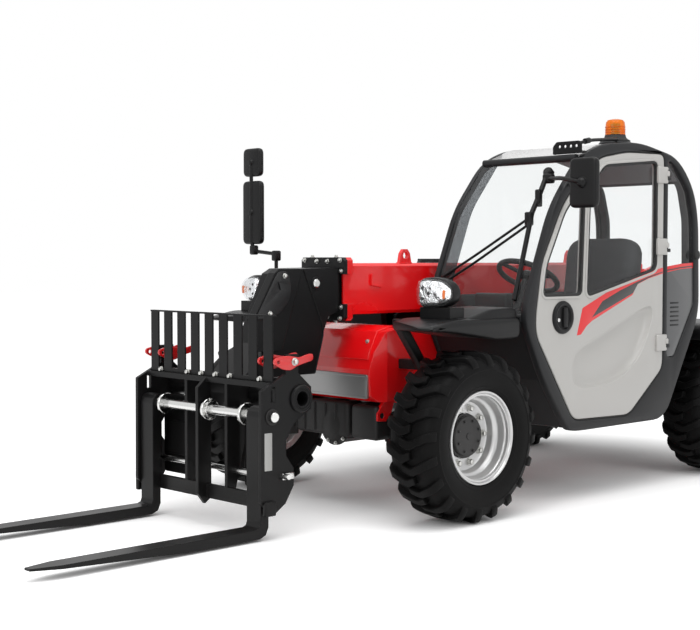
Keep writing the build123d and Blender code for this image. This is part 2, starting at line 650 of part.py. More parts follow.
# Carriage frame: side plates with hooked backs, hanger plates, middle plate and cross bars
BAR_FRONT = SHAFT_X - 0.5
BAR_DEPTH = 21
plate_profile = from_front([
    (830, 840), (900, 840), (907, 752), (1049, 683), (1052, 180), (987, 112), (909, 162),
    (860, 240), (860, 320), (905, 380), (905, 450), (850, 530), (752, 585), (752, 685), (830, 752),
])
hanger_profile = from_front([
    (745, 690), (880, GUARD_FOOT), (988, GUARD_FOOT), (988, 137), (950, 137), (880, 420), (752, 580), (735, 640),
])
middle_profile = from_front([
    (962, 137), (962, GUARD_FOOT), (985, GUARD_FOOT), (1040, 667), (1040, 160), (1000, 110),
])
HANGER_OUT = HEAD_HALF + 35
with BuildPart() as carriage_frame:
    for plate_y in (CARRIAGE_HALF, PLATE - CARRIAGE_HALF):
        with BuildSketch(side_plane(plate_y)):
            Polygon(*plate_profile, align=None)
            with Locations((FRONT_X + 981, 663)):
                Rectangle(24, 70, mode=Mode.SUBTRACT)
        extrude(amount=PLATE)
    for hanger_y in (HANGER_OUT, PLATE - HANGER_OUT):
        with BuildSketch(side_plane(hanger_y)):
            Polygon(*hanger_profile, align=None)
        extrude(amount=PLATE)
    with BuildSketch(side_plane(PLATE / 2)):
        Polygon(*middle_profile, align=None)
    extrude(amount=PLATE)
    with BuildSketch(cross_plane(BAR_FRONT - BAR_DEPTH)):
        with Locations((0, 170)):
            Rectangle(2 * CARRIAGE_HALF - PLATE, 67)
        with Locations((0, GUARD_FOOT - 13)):
            Rectangle(2 * CARRIAGE_HALF - PLATE, 26)
    extrude(amount=BAR_DEPTH)
    with BuildSketch(side_plane(CARRIAGE_HALF)):
        with Locations((PIVOT_X, PIVOT_Z)):
            RegularPolygon(PIVOT_RADIUS + FIT, ROUND_SIDES, major_radius=False)
        with Locations((SHAFT_X, SHAFT_Z)):
            RegularPolygon(SHAFT_RADIUS + FIT, PIN_SIDES)
        with Locations((LEVER_X, LEVER_Z)):
            RegularPolygon(LEVER_ROD + FIT, PIN_SIDES)
    extrude(amount=2 * CARRIAGE_HALF, mode=Mode.SUBTRACT)
save(carriage_frame.part, "carriage_frame")

# Fork shaft with its collars and end nuts
with BuildPart() as fork_shaft:
    with BuildSketch(side_plane(CARRIAGE_HALF + 25)):
        with Locations((SHAFT_X, SHAFT_Z)):
            RegularPolygon(SHAFT_RADIUS, PIN_SIDES)
    extrude(amount=2 * (CARRIAGE_HALF + 25))
    for collar_y in (320, 42, -304):
        with BuildSketch(side_plane(collar_y)):
            with Locations((SHAFT_X, SHAFT_Z)):
                RegularPolygon(COLLAR_RADIUS, ROUND_SIDES)
        extrude(amount=COLLAR_WIDTH)
save(fork_shaft.part, "fork_shaft")

# Forks: eye, shank and tapered blade
fork_top = FORK_BOTTOM + FORK_THICK
for fork_name, fork_y in (("fork_left", FORK_OUT), ("fork_right", FORK_WIDTH - FORK_OUT)):
    with BuildPart() as fork:
        with BuildSketch(side_plane(fork_y)):
            Polygon(
                (SHAFT_X, SHAFT_Z),
                (SHAFT_X, FORK_BOTTOM + 2 * FORK_HEEL),
                (SHAFT_X + 15, FORK_BOTTOM + 15),
                (SHAFT_X + 2 * FORK_HEEL, FORK_BOTTOM),
                (SHAFT_X + 420, FORK_BOTTOM),
                (FORK_TIP_X, fork_top - FORK_TIP),
                (FORK_TIP_X, fork_top),
                (SHAFT_X + FORK_THICK + FORK_HEEL, fork_top),
                (SHAFT_X + FORK_THICK + 7, fork_top + 7),
                (SHAFT_X + FORK_THICK, fork_top + FORK_HEEL),
                (SHAFT_X + FORK_THICK, SHAFT_Z),
                align=None,
            )
            with Locations((SHAFT_X, SHAFT_Z)):
                RegularPolygon(FORK_EYE, ROUND_SIDES)
                RegularPolygon(SHAFT_RADIUS + FIT, PIN_SIDES, mode=Mode.SUBTRACT)
        extrude(amount=FORK_WIDTH)
        with BuildSketch(Plane.XY):
            for edge in (1, -1):
                edge_y = fork_y - FORK_WIDTH / 2 + edge * FORK_WIDTH / 2
                Polygon(
                    (FORK_TIP_X - 130, edge_y),
                    (FORK_TIP_X + 1, edge_y),
                    (FORK_TIP_X + 1, edge_y - edge * FORK_WIDTH * 0.3),
                    align=None,
                )
        extrude(amount=SHAFT_Z, mode=Mode.SUBTRACT)
    save(fork.part, fork_name)

# Load guard: flat bars on a foot bar under a thin top rail
GUARD_X = FRONT_X + 960
guard_pitch = (2 * CARRIAGE_HALF - 2 * PLATE - GUARD_BAR - 4) / (GUARD_BARS - 1)
with BuildPart() as load_guard:
    with BuildSketch(cross_plane(GUARD_X)):
        with GridLocations(guard_pitch, 0, GUARD_BARS, 1):
            with Locations((0, (GUARD_TOP + GUARD_FOOT) / 2)):
                Rectangle(GUARD_BAR, GUARD_TOP - GUARD_FOOT)
    extrude(amount=GUARD_PLATE)
    with BuildSketch(cross_plane(GUARD_X - 2 * GUARD_PLATE)):
        with Locations((0, GUARD_TOP - GUARD_PLATE / 2)):
            Rectangle(2 * CARRIAGE_HALF - 33, GUARD_PLATE)
        with Locations((0, GUARD_FOOT + 10)):
            Rectangle(2 * CARRIAGE_HALF - 2 * PLATE - 2, 20)
    extrude(amount=3 * GUARD_PLATE)
save(load_guard.part, "load_guard")

# Red latch levers, an outer and an inner one on each side, joined by a rod through the side plates
lever_outline = from_front([
    (985, 796), (985, 822), (900, 836), (830, 822), (760, 838), (749, 838), (749, 806), (820, 790), (872, 770), (930, 778),
])
with BuildPart() as latch_levers:
    for side in (1, -1):
        outer_y = side * (CARRIAGE_HALF + LEVER / 2) + LEVER / 2
        for lever_y in (outer_y, outer_y - side * LEVER_INSET):
            with BuildSketch(side_plane(lever_y)):
                Polygon(*lever_outline, align=None)
            extrude(amount=LEVER)
        with BuildSketch(side_plane(outer_y)):
            with Locations((LEVER_X, LEVER_Z)):
                RegularPolygon(LEVER_ROD, PIN_SIDES)
        extrude(amount=side * LEVER_INSET)
save(latch_levers.part, "latch_levers")

# Cab: left frame around the door, right frame, floor, rear wall and roof
cab_outline = rounded(from_front([
    (-338, 982), (-501, 656), (-690, 400), (-747, 375), (-1599, 375), (-1940, 953), (-1924, 1506),
    (-1867, 1687), (-1705, 1847), (-1328, 1910), (-1000, 1885), (-801, 1806), (-574, 1541),
]), CAB_CORNER)
door_outline = rounded(from_front([
    (-436, 886), (-746, 432), (-1246, 420), (-1570, 660), (-1570, 1862), (-1210, 1854), (-979, 1815),
    (-800, 1710), (-640, 1541), (-478, 1252), (-430, 979),
]), DOOR_CORNER)
quarter_outline = rounded(from_front([
    (-1610, 1832), (-1610, 720), (-1690, 720), (-1885, 1010), (-1872, 1500), (-1825, 1660), (-1690, 1795),
]), WINDOW_CORNER - 10)
right_outline = rounded(from_front([
    (-480, 1110), (-640, 1480), (-830, 1720), (-1010, 1810), (-1660, 1790), (-1840, 1640), (-1860, 1110),
]), WINDOW_CORNER)
with BuildPart() as cab_left:
    with BuildSketch(side_plane(CAB_LEFT)):
        add(cab_outline)
        add(door_outline, mode=Mode.SUBTRACT)
        add(quarter_outline, mode=Mode.SUBTRACT)
    extrude(amount=CAB_WALL)
    for hinge_z in DOOR_HINGE_HEIGHTS:
        with BuildSketch(Plane.XY.offset(hinge_z - 30)):
            with Locations((DOOR_HINGE_X, CAB_LEFT + HINGE_SLEEVE - 2)):
                Rectangle(2 * HINGE_SLEEVE, 2 * HINGE_SLEEVE + 4)
        extrude(amount=20)
        with BuildSketch(Plane.XY.offset(hinge_z - 12)):
            with Locations((DOOR_HINGE_X, DOOR_HINGE_Y)):
                Circle(HINGE_PIN)
        extrude(amount=36)
save(cab_left.part, "cab_left")

with BuildPart() as cab_right:
    with BuildSketch(side_plane(CAB_RIGHT + CAB_SKIN)):
        add(cab_outline)
        add(right_outline, mode=Mode.SUBTRACT)
    extrude(amount=CAB_SKIN)
save(cab_right.part, "cab_right")

CAB_IN_LEFT = CAB_LEFT - CAB_WALL
CAB_IN_RIGHT = CAB_RIGHT + CAB_SKIN
CAB_SPAN = CAB_IN_LEFT - CAB_IN_RIGHT
CAB_MID = (CAB_IN_LEFT + CAB_IN_RIGHT) / 2
with BuildPart() as cab_floor:
    with BuildSketch(side_plane(CAB_IN_LEFT)):
        Polygon(*from_front([
            (-700, 400), (-512, 656), (-352, 970), (-382, 990), (-540, 672), (-715, 435), (-1590, 435), (-1590, 395),
            (-720, 395),
        ]), align=None)
    extrude(amount=CAB_SPAN)
save(cab_floor.part, "cab_floor")

with BuildPart() as cab_rear:
    with BuildSketch(side_plane(CAB_IN_LEFT)):
        Polygon(*from_front([
            (-1590, 395), (-1590, 435), (-1900, 960), (-1885, 1500), (-1835, 1670), (-1859, 1683), (-1916, 1506),
            (-1932, 960),
        ]), align=None)
    extrude(amount=CAB_SPAN)
    with BuildSketch(cross_plane(FRONT_X - 2000)):
        with Locations((CAB_MID, 1270)):
            Rectangle(CAB_SPAN - 100, 460)
    extrude(amount=200, mode=Mode.SUBTRACT)
save(cab_rear.part, "cab_rear")

# Roof: a crowned skin between the two frames, with the beacon's pad
BEACON_X = FRONT_X - 1287
BEACON_Y = CAB_IN_LEFT - ROOF_PAD_RADIUS
roof_outline = from_front([
    (-801, 1803), (-1000, 1881), (-1328, 1906), (-1705, 1843), (-1859, 1683), (-1835, 1670), (-1690, 1815),
    (-1325, 1875), (-1010, 1850), (-825, 1780),
])
with BuildPart() as cab_roof:
    with BuildSketch(side_plane(CAB_IN_LEFT)):
        Polygon(*roof_outline, align=None)
    extrude(amount=CAB_SPAN)
    with BuildSketch(Plane.XY.offset(ROOF_PAD_Z - 30)):
        with Locations((BEACON_X, BEACON_Y)):
            RegularPolygon(ROOF_PAD_RADIUS, BEACON_SIDES)
    extrude(amount=30)
save(cab_roof.part, "cab_roof")

# Fixed glass: windscreen, right window, quarter window and rear window
with BuildPart() as cab_glass:
    with BuildSketch(side_plane(CAB_IN_LEFT)):
        Polygon(*from_front([
            (-362, 990), (-585, 1538), (-806, 1795), (-812, 1790), (-593, 1534), (-370, 986),
        ]), align=None)
    extrude(amount=CAB_SPAN)
    with BuildSketch(side_plane(CAB_RIGHT + CAB_SKIN / 2 + GLASS / 2)):
        add(right_outline)
    extrude(amount=GLASS)
    with BuildSketch(side_plane(CAB_LEFT - GLASS_DEPTH)):
        add(quarter_outline)
    extrude(amount=GLASS)
    with BuildSketch(side_plane(CAB_IN_LEFT - 50 - FIT)):
        Polygon(*from_front([
            (-1920, 1040 + FIT), (-1907, 1500 - FIT), (-1899, 1500 - FIT), (-1912, 1040 + FIT),
        ]), align=None)
    extrude(amount=CAB_SPAN - 100 - 2 * FIT)
save(cab_glass.part, "cab_glass")

# Seat on its box, and console with the steering wheel
SEAT_HALF = 210
CAB_DECK = 435
with BuildPart() as seat:
    with BuildSketch(side_plane(CAB_MID + SEAT_HALF)):
        Polygon(*from_front([
            (-1020, CAB_DECK), (-1020, 740), (-930, 760), (-915, 830), (-960, 880), (-1330, 860), (-1400, 1140),
            (-1440, 1400), (-1480, 1440), (-1540, 1420), (-1500, 1140), (-1480, 800), (-1400, 740), (-1400, CAB_DECK),
        ]), align=None)
    extrude(amount=2 * SEAT_HALF)
save(seat.part, "seat")

STEER_RADIUS = 180
STEER_RIM = 30
steer_plane = Plane(origin=(FRONT_X - 800, CAB_MID, 1170), x_dir=(0, 1, 0), z_dir=(-0.5, 0, 0.866))
with BuildPart() as console:
    with BuildSketch(side_plane(CAB_MID + 130)):
        Polygon(*from_front([
            (-722, CAB_DECK), (-546, 674), (-396, 972), (-450, 1000), (-640, 1000), (-700, 720), (-800, CAB_DECK),
        ]), align=None)
    extrude(amount=260)
    with BuildSketch(steer_plane.offset(-340)):
        RegularPolygon(STEER_RIM, 8)
    extrude(amount=345)
    with BuildSketch(steer_plane):
        RegularPolygon(STEER_RADIUS, ROUND_SIDES)
        RegularPolygon(STEER_RADIUS - STEER_RIM, ROUND_SIDES, mode=Mode.SUBTRACT)
        Rectangle(2 * STEER_RADIUS - STEER_RIM, 40)
        Rectangle(90, 90)
    extrude(amount=25)
save(console.part, "console")

# Door: swaged panel with two windows, its glass and its round handle
window_front = rounded(from_front([
    (-500, 1075), (-530, 1235), (-670, 1500), (-835, 1500), (-800, 1075),
]), WINDOW_CORNER - 10)
window_main = rounded(from_front([
    (-845, 1075), (-880, 1500), (-845, 1640), (-1000, 1770), (-1500, 1815), (-1500, 1215),
]), WINDOW_CORNER)
swage_outline = from_front([
    (-740, 640), (-755, 790), (-1400, 1000), (-1465, 1010), (-1440, 900), (-1340, 740), (-1180, 640), (-1000, 608),
    (-780, 608),
])
with BuildPart() as door_panel:
    with BuildSketch(side_plane(CAB_LEFT)):
        add(door_outline)
        offset(amount=-DOOR_GAP, mode=Mode.REPLACE)
        add(window_front, mode=Mode.SUBTRACT)
        add(window_main, mode=Mode.SUBTRACT)
    extrude(amount=CAB_WALL - 5)
    with BuildSketch(side_plane(CAB_LEFT)):
        Polygon(*swage_outline, align=None)
    extrude(amount=DOOR_SWAGE, mode=Mode.SUBTRACT)
    for hinge_z in DOOR_HINGE_HEIGHTS:
        with BuildSketch(Plane.XY.offset(hinge_z - 8)):
            with Locations((DOOR_HINGE_X + 30, DOOR_HINGE_Y)):
                Rectangle(60, 14)
            with Locations((DOOR_HINGE_X + 45, DOOR_HINGE_Y - 9)):
                Rectangle(30, 10)
            with Locations((DOOR_HINGE_X, DOOR_HINGE_Y)):
                RegularPolygon(HINGE_SLEEVE, 8)
                RegularPolygon(HINGE_PIN + FIT, 8, major_radius=False, mode=Mode.SUBTRACT)
        extrude(amount=30)
save(door_panel.part, "door_panel")

with BuildPart() as door_glass:
    with BuildSketch(side_plane(CAB_LEFT - GLASS_DEPTH)):
        add(window_front)
        add(window_main)
    extrude(amount=GLASS)
save(door_glass.part, "door_glass")

with BuildPart() as door_handle:
    with BuildSketch(side_plane(CAB_LEFT + 16)):
        with Locations((FRONT_X - 648, 974)):
            RegularPolygon(HANDLE_RADIUS, FACETS)
            RegularPolygon(HANDLE_RADIUS - 22, ROUND_SIDES, mode=Mode.SUBTRACT)
            Rectangle(2 * HANDLE_RADIUS - 40, 36)
    extrude(amount=16)
save(door_handle.part, "door_handle")

# Engine side on the right: tray with bulkhead, engine block and hinged hood with its grille
tray_profile = from_front([
    (-520, 656), (-690, 400), (-747, 375), (-1599, 375), (-1770, 700), (-1790, 760), (-480, 760),
])
tray_hollow = from_front([(-640, 800), (-640, 560), (-760, 405), (-1580, 405), (-1680, 600), (-1680, 800)])
bulkhead = from_front([(-480, 750), (-480, 960), (-700, 1085), (-1500, 1100), (-1790, 1020), (-1790, 750)])
HOOD_WIDTH = CAB_LEFT - HOOD_INSIDE
with BuildPart() as engine_tray:
    with BuildSketch(side_plane(-FRAME_HALF)):
        Polygon(*tray_profile, align=None)
    extrude(amount=CAB_LEFT - FRAME_HALF)
    with BuildSketch(side_plane(-FRAME_HALF - FRAME_WALL)):
        Polygon(*tray_hollow, align=None)
    extrude(amount=CAB_LEFT - FRAME_HALF - 45, mode=Mode.SUBTRACT)
    with BuildSketch(side_plane(-FRAME_HALF)):
        Polygon(*bulkhead, align=None)
    extrude(amount=FRAME_WALL)
    for hinge_x in HOOD_HINGE_PLACES:
        with BuildSketch(cross_plane(hinge_x - 40)):
            with Locations((HOOD_HINGE_Y + 1, HOOD_HINGE_Z - 27)):
                Rectangle(18, 80)
        extrude(amount=30)
        with BuildSketch(cross_plane(hinge_x - 12)):
            with Locations((HOOD_HINGE_Y, HOOD_HINGE_Z)):
                Circle(HINGE_PIN)
        extrude(amount=42)
save(engine_tray.part, "engine_tray")

with BuildPart() as engine_block:
    with BuildSketch(Plane.XY.offset(405)) as block_plan:
        with Locations((FRONT_X - 1200, -540)):
            Rectangle(700, 420)
        chamfer(block_plan.vertices(), 40)
    extrude(amount=530)
save(engine_block.part, "engine_block")

hood_outline = from_front([
    (-480, 765), (-400, 850), (-380, 985), (-640, 1095), (-1500, 1130), (-1810, 1040), (-1850, 880), (-1790, 765),
])
hood_hollow = from_front([
    (-510, 760), (-440, 850), (-425, 965), (-655, 1062), (-1490, 1096), (-1780, 1012), (-1815, 880), (-1770, 760),
])
AIR_CAP_X = FRONT_X - 1050
AIR_CAP_Y = -430
with BuildPart() as engine_hood:
    with BuildSketch(side_plane(-HOOD_INSIDE)):
        Polygon(*hood_outline, align=None)
    extrude(amount=HOOD_WIDTH)
    chamfer(engine_hood.faces().sort_by(Axis.Y)[0].edges(), HOOD_EDGE)
    with BuildSketch(side_plane(-HOOD_INSIDE + 1)):
        Polygon(*hood_hollow, align=None)
    extrude(amount=HOOD_WIDTH - HOOD_EDGE - HOOD_WALL, mode=Mode.SUBTRACT)
    with BuildSketch(side_plane(-HOOD_INSIDE - HOOD_WIDTH / 2)):
        with Locations((FRONT_X - 1480, 935)):
            with GridLocations(0, GRILLE_PITCH, 1, GRILLE_SLOTS):
                Rectangle(GRILLE_LENGTH, GRILLE_SLOT)
    extrude(amount=HOOD_WIDTH, mode=Mode.SUBTRACT)
    with BuildSketch(Plane.XY.offset(1090)):
        with Locations((AIR_CAP_X, AIR_CAP_Y)):
            RegularPolygon(45, PIN_SIDES)
    extrude(amount=150)
    with BuildSketch(Plane.XY.offset(1225)):
        with Locations((AIR_CAP_X, AIR_CAP_Y)):
            RegularPolygon(85, ROUND_SIDES)
    extrude(amount=50)
    for hinge_x in HOOD_HINGE_PLACES:
        with BuildSketch(cross_plane(hinge_x - 8)):
            with Locations((HOOD_HINGE_Y - 25, HOOD_HINGE_Z)):
                Rectangle(50, 14)
            with Locations((HOOD_HINGE_Y - 40, HOOD_HINGE_Z - 27)):
                Rectangle(20, 68)
            with Locations((HOOD_HINGE_Y, HOOD_HINGE_Z)):
                RegularPolygon(HINGE_SLEEVE, 8)
                RegularPolygon(HINGE_PIN + FIT, 8, major_radius=False, mode=Mode.SUBTRACT)
        extrude(amount=38)
save(engine_hood.part, "engine_hood")

# Front fenders with their struts, and rear fenders
FENDER_IN = 489
fender_plan = [
    (FRONT_X + 214, FENDER_IN), (FRONT_X + 323, FENDER_OUT - 90), (FRONT_X + 300, FENDER_OUT),
    (FRONT_X - 330, FENDER_OUT), (FRONT_X - 330, FENDER_IN),
]
fender_profile = from_front([
    (-330, 880), (-330, FENDER_TOP), (150, FENDER_TOP), (325, FENDER_TOP - 32), (325, FENDER_TOP - 50), (180, 925),
    (-150, 880),
])
strut_profile = from_front([(-30, 720), (40, 720), (60, 760), (205, 950), (205, FENDER_TOP - 5), (165, FENDER_TOP - 5)])
with BuildPart() as front_fenders:
    for side in (1, -1):
        with BuildSketch(side_plane(side * FENDER_OUT)):
            Polygon(*fender_profile, align=None)
        extrude(amount=side * (FENDER_OUT - FENDER_IN))
    with BuildSketch(Plane.XY.offset(AXLE_Z)):
        for side in (1, -1):
            Polygon(*[(x, side * y) for x, y in fender_plan], align=None)
    extrude(amount=2 * AXLE_Z, mode=Mode.INTERSECT)
    for side in (1, -1):
        with BuildSketch(side_plane(side * (FENDER_IN + 30))):
            Polygon(*strut_profile, align=None)
        extrude(amount=side * 45)
        with BuildSketch(side_plane(side * FENDER_IN)):
            with Locations((FRONT_X + 5, 745)):
                Rectangle(60, 50)
        extrude(amount=side * (FENDER_IN - COWL_HALF))
save(front_fenders.part, "front_fenders")

rear_profile = from_rear([(330, 872), (330, 896), (-280, 896), (-400, 860), (-400, 840), (-280, 872)])
with BuildPart() as rear_fenders:
    for fender_y in (CAB_LEFT, -FRAME_HALF):
        with BuildSketch(side_plane(fender_y)):
            Polygon(*rear_profile, align=None)
        extrude(amount=CAB_LEFT - FRAME_HALF)
save(rear_fenders.part, "rear_fenders")

# Lamps on their brackets: rounded headlamps in front, block lamps behind
with BuildPart() as lamp_brackets:
    with BuildSketch(Plane.XY.offset(FENDER_TOP)):
        with Locations((FRONT_X + 80, LAMP_Y), (FRONT_X + 80, -LAMP_Y)):
            Rectangle(100, LAMP_WIDTH - 40)
    extrude(amount=BRACKET_HEIGHT)
save(lamp_brackets.part, "lamp_brackets")

lamp_bottom = FENDER_TOP + BRACKET_HEIGHT
with BuildPart() as lamps:
    for side in (1, -1):
        with BuildSketch(Plane.XY.offset(lamp_bottom)) as lamp_plan:
            Polygon(
                (FRONT_X + 40, side * (LAMP_Y - LAMP_WIDTH / 2)),
                (FRONT_X + 185, side * (LAMP_Y - LAMP_WIDTH / 2)),
                (FRONT_X + 192, side * LAMP_Y),
                (FRONT_X + 130, side * (LAMP_Y + LAMP_WIDTH / 2)),
                (FRONT_X + 40, side * (LAMP_Y + LAMP_WIDTH / 2)),
                align=None,
            )
            chamfer(lamp_plan.vertices().sort_by(Axis.X)[2:], 14)
        extrude(amount=LAMP_HEIGHT)
    with BuildSketch(Plane.XY.offset(896)):
        with Locations((REAR_X - 240, LAMP_Y), (REAR_X - 240, -LAMP_Y)):
            Rectangle(60, 180)
    extrude(amount=90)
save(lamps.part, "lamps")

# Mirrors: one on the left front post, a pair on the right fender's stalk
LEFT_ARM_Y = MIRROR_REACH - LEFT_MIRROR_WIDTH / 2
with BuildPart() as left_mirror:
    with BuildSketch(cross_plane(FRONT_X - 630)) as left_head:
        with Locations((MIRROR_REACH - LEFT_MIRROR_WIDTH / 2, LEFT_MIRROR_Z)):
            Rectangle(LEFT_MIRROR_WIDTH, LEFT_MIRROR_HEIGHT)
        chamfer(left_head.vertices(), MIRROR_ROUND)
    extrude(amount=MIRROR_THICK)
    with BuildSketch(side_plane(LEFT_ARM_Y + MIRROR_ARM)):
        with Locations((FRONT_X - 700, LEFT_MIRROR_Z)):
            RegularPolygon(MIRROR_ARM, 8)
    extrude(amount=LEFT_ARM_Y + MIRROR_ARM - CAB_LEFT)
    with BuildSketch(cross_plane(FRONT_X - 700)):
        with Locations((LEFT_ARM_Y, LEFT_MIRROR_Z)):
            RegularPolygon(MIRROR_ARM, 8)
    extrude(amount=80)
save(left_mirror.part, "left_mirror")

STALK_X = FRONT_X - 157
STALK_Y = -FENDER_OUT + 30
STALK_BEND = 1302
STALK_OUT = MIRROR_REACH - RIGHT_MIRROR_WIDTH / 2
with BuildPart() as right_mirrors:
    with BuildSketch(Plane.XY.offset(FENDER_TOP)):
        with Locations((STALK_X, STALK_Y)):
            RegularPolygon(MIRROR_ARM + 3, 8)
    extrude(amount=STALK_BEND + MIRROR_ARM - FENDER_TOP)
    with BuildSketch(side_plane(STALK_Y)):
        with Locations((STALK_X, STALK_BEND)):
            RegularPolygon(MIRROR_ARM, 8)
    extrude(amount=STALK_OUT + MIRROR_ARM + STALK_Y)
    with BuildSketch(Plane.XY.offset(STALK_BEND)):
        with Locations((STALK_X, -STALK_OUT)):
            RegularPolygon(MIRROR_ARM, 8)
    extrude(amount=TOP_MIRROR_Z - STALK_BEND)
    with BuildSketch(cross_plane(STALK_X - MIRROR_THICK / 2)) as right_heads:
        with Locations((-STALK_OUT, RIGHT_MIRROR_Z)):
            Rectangle(RIGHT_MIRROR_WIDTH, RIGHT_MIRROR_HEIGHT)
        with Locations((-STALK_OUT, TOP_MIRROR_Z)):
            Rectangle(RIGHT_MIRROR_WIDTH - 10, TOP_MIRROR_HEIGHT)
        chamfer(right_heads.vertices(), MIRROR_ROUND)
    extrude(amount=MIRROR_THICK)
save(right_mirrors.part, "right_mirrors")

# Beacon: a boot on the roof's pad under a domed lens
boot_height = 0.3 * (BEACON_TOP - ROOF_PAD_Z)
lens_height = 0.45 * (BEACON_TOP - ROOF_PAD_Z)
dome_height = BEACON_TOP - ROOF_PAD_Z - boot_height - lens_height
beacon_boot = cone(ROOF_PAD_RADIUS - 8, BEACON_RADIUS, boot_height, BEACON_SIDES)
beacon_lens = cone(BEACON_RADIUS, BEACON_RADIUS - 3, lens_height, BEACON_SIDES)
beacon_dome = cone(BEACON_RADIUS - 3, BEACON_RADIUS * 0.6, dome_height, BEACON_SIDES)
with BuildPart() as beacon:
    add(Pos(BEACON_X, BEACON_Y, ROOF_PAD_Z) * beacon_boot)
    add(Pos(BEACON_X, BEACON_Y, ROOF_PAD_Z + boot_height) * beacon_lens)
    add(Pos(BEACON_X, BEACON_Y, ROOF_PAD_Z + boot_height + lens_height) * beacon_dome)
save(beacon.part, "beacon")
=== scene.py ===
import math

import bpy
from mathutils import Matrix, Vector


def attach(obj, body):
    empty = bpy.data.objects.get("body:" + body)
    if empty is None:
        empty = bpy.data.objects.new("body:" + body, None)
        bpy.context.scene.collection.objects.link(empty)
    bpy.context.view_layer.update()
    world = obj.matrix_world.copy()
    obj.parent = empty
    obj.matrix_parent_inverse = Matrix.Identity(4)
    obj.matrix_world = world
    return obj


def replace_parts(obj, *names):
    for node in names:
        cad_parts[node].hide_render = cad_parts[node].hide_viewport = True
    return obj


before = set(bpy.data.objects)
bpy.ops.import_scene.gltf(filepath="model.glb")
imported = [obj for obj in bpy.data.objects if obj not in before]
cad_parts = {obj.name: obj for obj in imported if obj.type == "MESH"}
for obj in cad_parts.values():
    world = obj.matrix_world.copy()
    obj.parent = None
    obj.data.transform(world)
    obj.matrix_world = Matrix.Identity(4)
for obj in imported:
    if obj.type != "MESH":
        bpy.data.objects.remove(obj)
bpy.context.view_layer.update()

# Photo studio: the machine stands on a wide white sweep under large soft lights.
# The sweep keeps the machine's shadow, and shows white to the lens, in glossy paint and through glass.
# Its glow carries painted shade: ambient occlusion darkens it under and near the machine.
STUDIO_HALF = 40.0
CAMERA_PLACE = (5.2347, 5.0767, 1.2753)
CAMERA_AIM = (-0.6896, -0.7229, -0.0420)
CAMERA_LENS = 68.94
FLOOR_WHITE = (0.86, 0.86, 0.86, 1.0)
FLOOR_GLOW = 0.665
# Reach of the painted shade that ambient occlusion puts into the floor's glow.
PAINTED_SHADE_REACH = 2.2
SKY_LIGHT = 0.42
WHITE = (1.0, 1.0, 1.0, 1.0)


def add_node(tree, kind, operation=None, values=()):
    """A new node, with the operation of a maths node and the values of its sockets."""
    node = tree.nodes.new(kind)
    if operation:
        node.operation = operation
    for socket, value in values:
        node.inputs[socket].default_value = value
    return node


def wire(tree, *links):
    """Join sockets: each link is a node and its output, then the node and the input that it feeds."""
    for source, output, target, entry in links:
        tree.links.new(source.outputs[output], target.inputs[entry])


def seen_rays(tree):
    """A node that gives one for camera rays, glossy rays and rays through glass, and nought for others."""
    paths = add_node(tree, "ShaderNodeLightPath")
    mirrored = add_node(tree, "ShaderNodeMath", "MAXIMUM")
    seen = add_node(tree, "ShaderNodeMath", "MAXIMUM")
    wire(
        tree,
        (paths, "Is Camera Ray", seen, 0),
        (paths, "Is Glossy Ray", mirrored, 0),
        (paths, "Is Transmission Ray", mirrored, 1),
        (mirrored, 0, seen, 1),
    )
    return seen


bpy.ops.object.select_all(action="DESELECT")
bpy.ops.mesh.primitive_plane_add(size=2 * STUDIO_HALF, location=(0.0, 0.0, 0.0))
studio_floor = bpy.context.object
studio_floor.name = "studio_floor"
floor_white = bpy.data.materials.new("studio_white")
floor_white.use_nodes = True
tree = floor_white.node_tree
tree.nodes.clear()
floor_paint = add_node(tree, "ShaderNodeBsdfDiffuse", values=[("Color", FLOOR_WHITE)])
glow = add_node(tree, "ShaderNodeEmission", values=[("Color", WHITE)])
level = add_node(tree, "ShaderNodeMath", "MULTIPLY", [(1, FLOOR_GLOW)])
# Painted shade: the floor's glow is darkened by ambient occlusion under and near the machine.
painted_shade_mask = add_node(tree, "ShaderNodeAmbientOcclusion", values=[("Distance", PAINTED_SHADE_REACH)])
glow_with_painted_shade = add_node(tree, "ShaderNodeMath", "MULTIPLY")
both = add_node(tree, "ShaderNodeAddShader")
surface = add_node(tree, "ShaderNodeOutputMaterial")
wire(
    tree,
    (seen_rays(tree), 0, level, 0),
    (level, 0, glow_with_painted_shade, 0),
    (painted_shade_mask, "AO", glow_with_painted_shade, 1),
    (glow_with_painted_shade, 0, glow, "Strength"),
    (floor_paint, 0, both, 0),
    (glow, 0, both, 1),
    (both, 0, surface, "Surface"),
)
studio_floor.data.materials.append(floor_white)

studio_sky = bpy.data.worlds.new("studio_sky")
studio_sky.use_nodes = True
bpy.context.scene.world = studio_sky
tree = studio_sky.node_tree
tree.nodes.clear()
soft_light = add_node(tree, "ShaderNodeBackground", values=[("Color", WHITE), ("Strength", SKY_LIGHT)])
white_wall = add_node(tree, "ShaderNodeBackground", values=[("Color", WHITE), ("Strength", 1.0)])
choose = add_node(tree, "ShaderNodeMixShader")
surface = add_node(tree, "ShaderNodeOutputWorld")
wire(
    tree,
    (seen_rays(tree), 0, choose, "Fac"),
    (soft_light, 0, choose, 1),
    (white_wall, 0, choose, 2),
    (choose, 0, surface, "Surface"),
)


def soft_box(name, place, aim, width, power):
    """A square studio light of the given width, turned to shine at a point."""
    bpy.ops.object.light_add(type="AREA", location=place)
    lamp = bpy.context.object
    lamp.name = name
    lamp.data.shape = "SQUARE"
    lamp.data.size = width
    lamp.data.energy = power
    lamp.rotation_euler = (Vector(aim) - Vector(place)).to_track_quat("-Z", "Y").to_euler()


soft_box("overhead_light", (1.0, 1.5, 7.5), (0.0, 0.0, 0.6), 6.0, 330.0)
soft_box("front_light", (7.5, 1.5, 4.0), (0.8, 0.2, 0.7), 4.0, 120.0)
soft_box("cab_side_light", (-1.0, 8.0, 3.6), (-0.3, 0.5, 0.9), 4.5, 120.0)

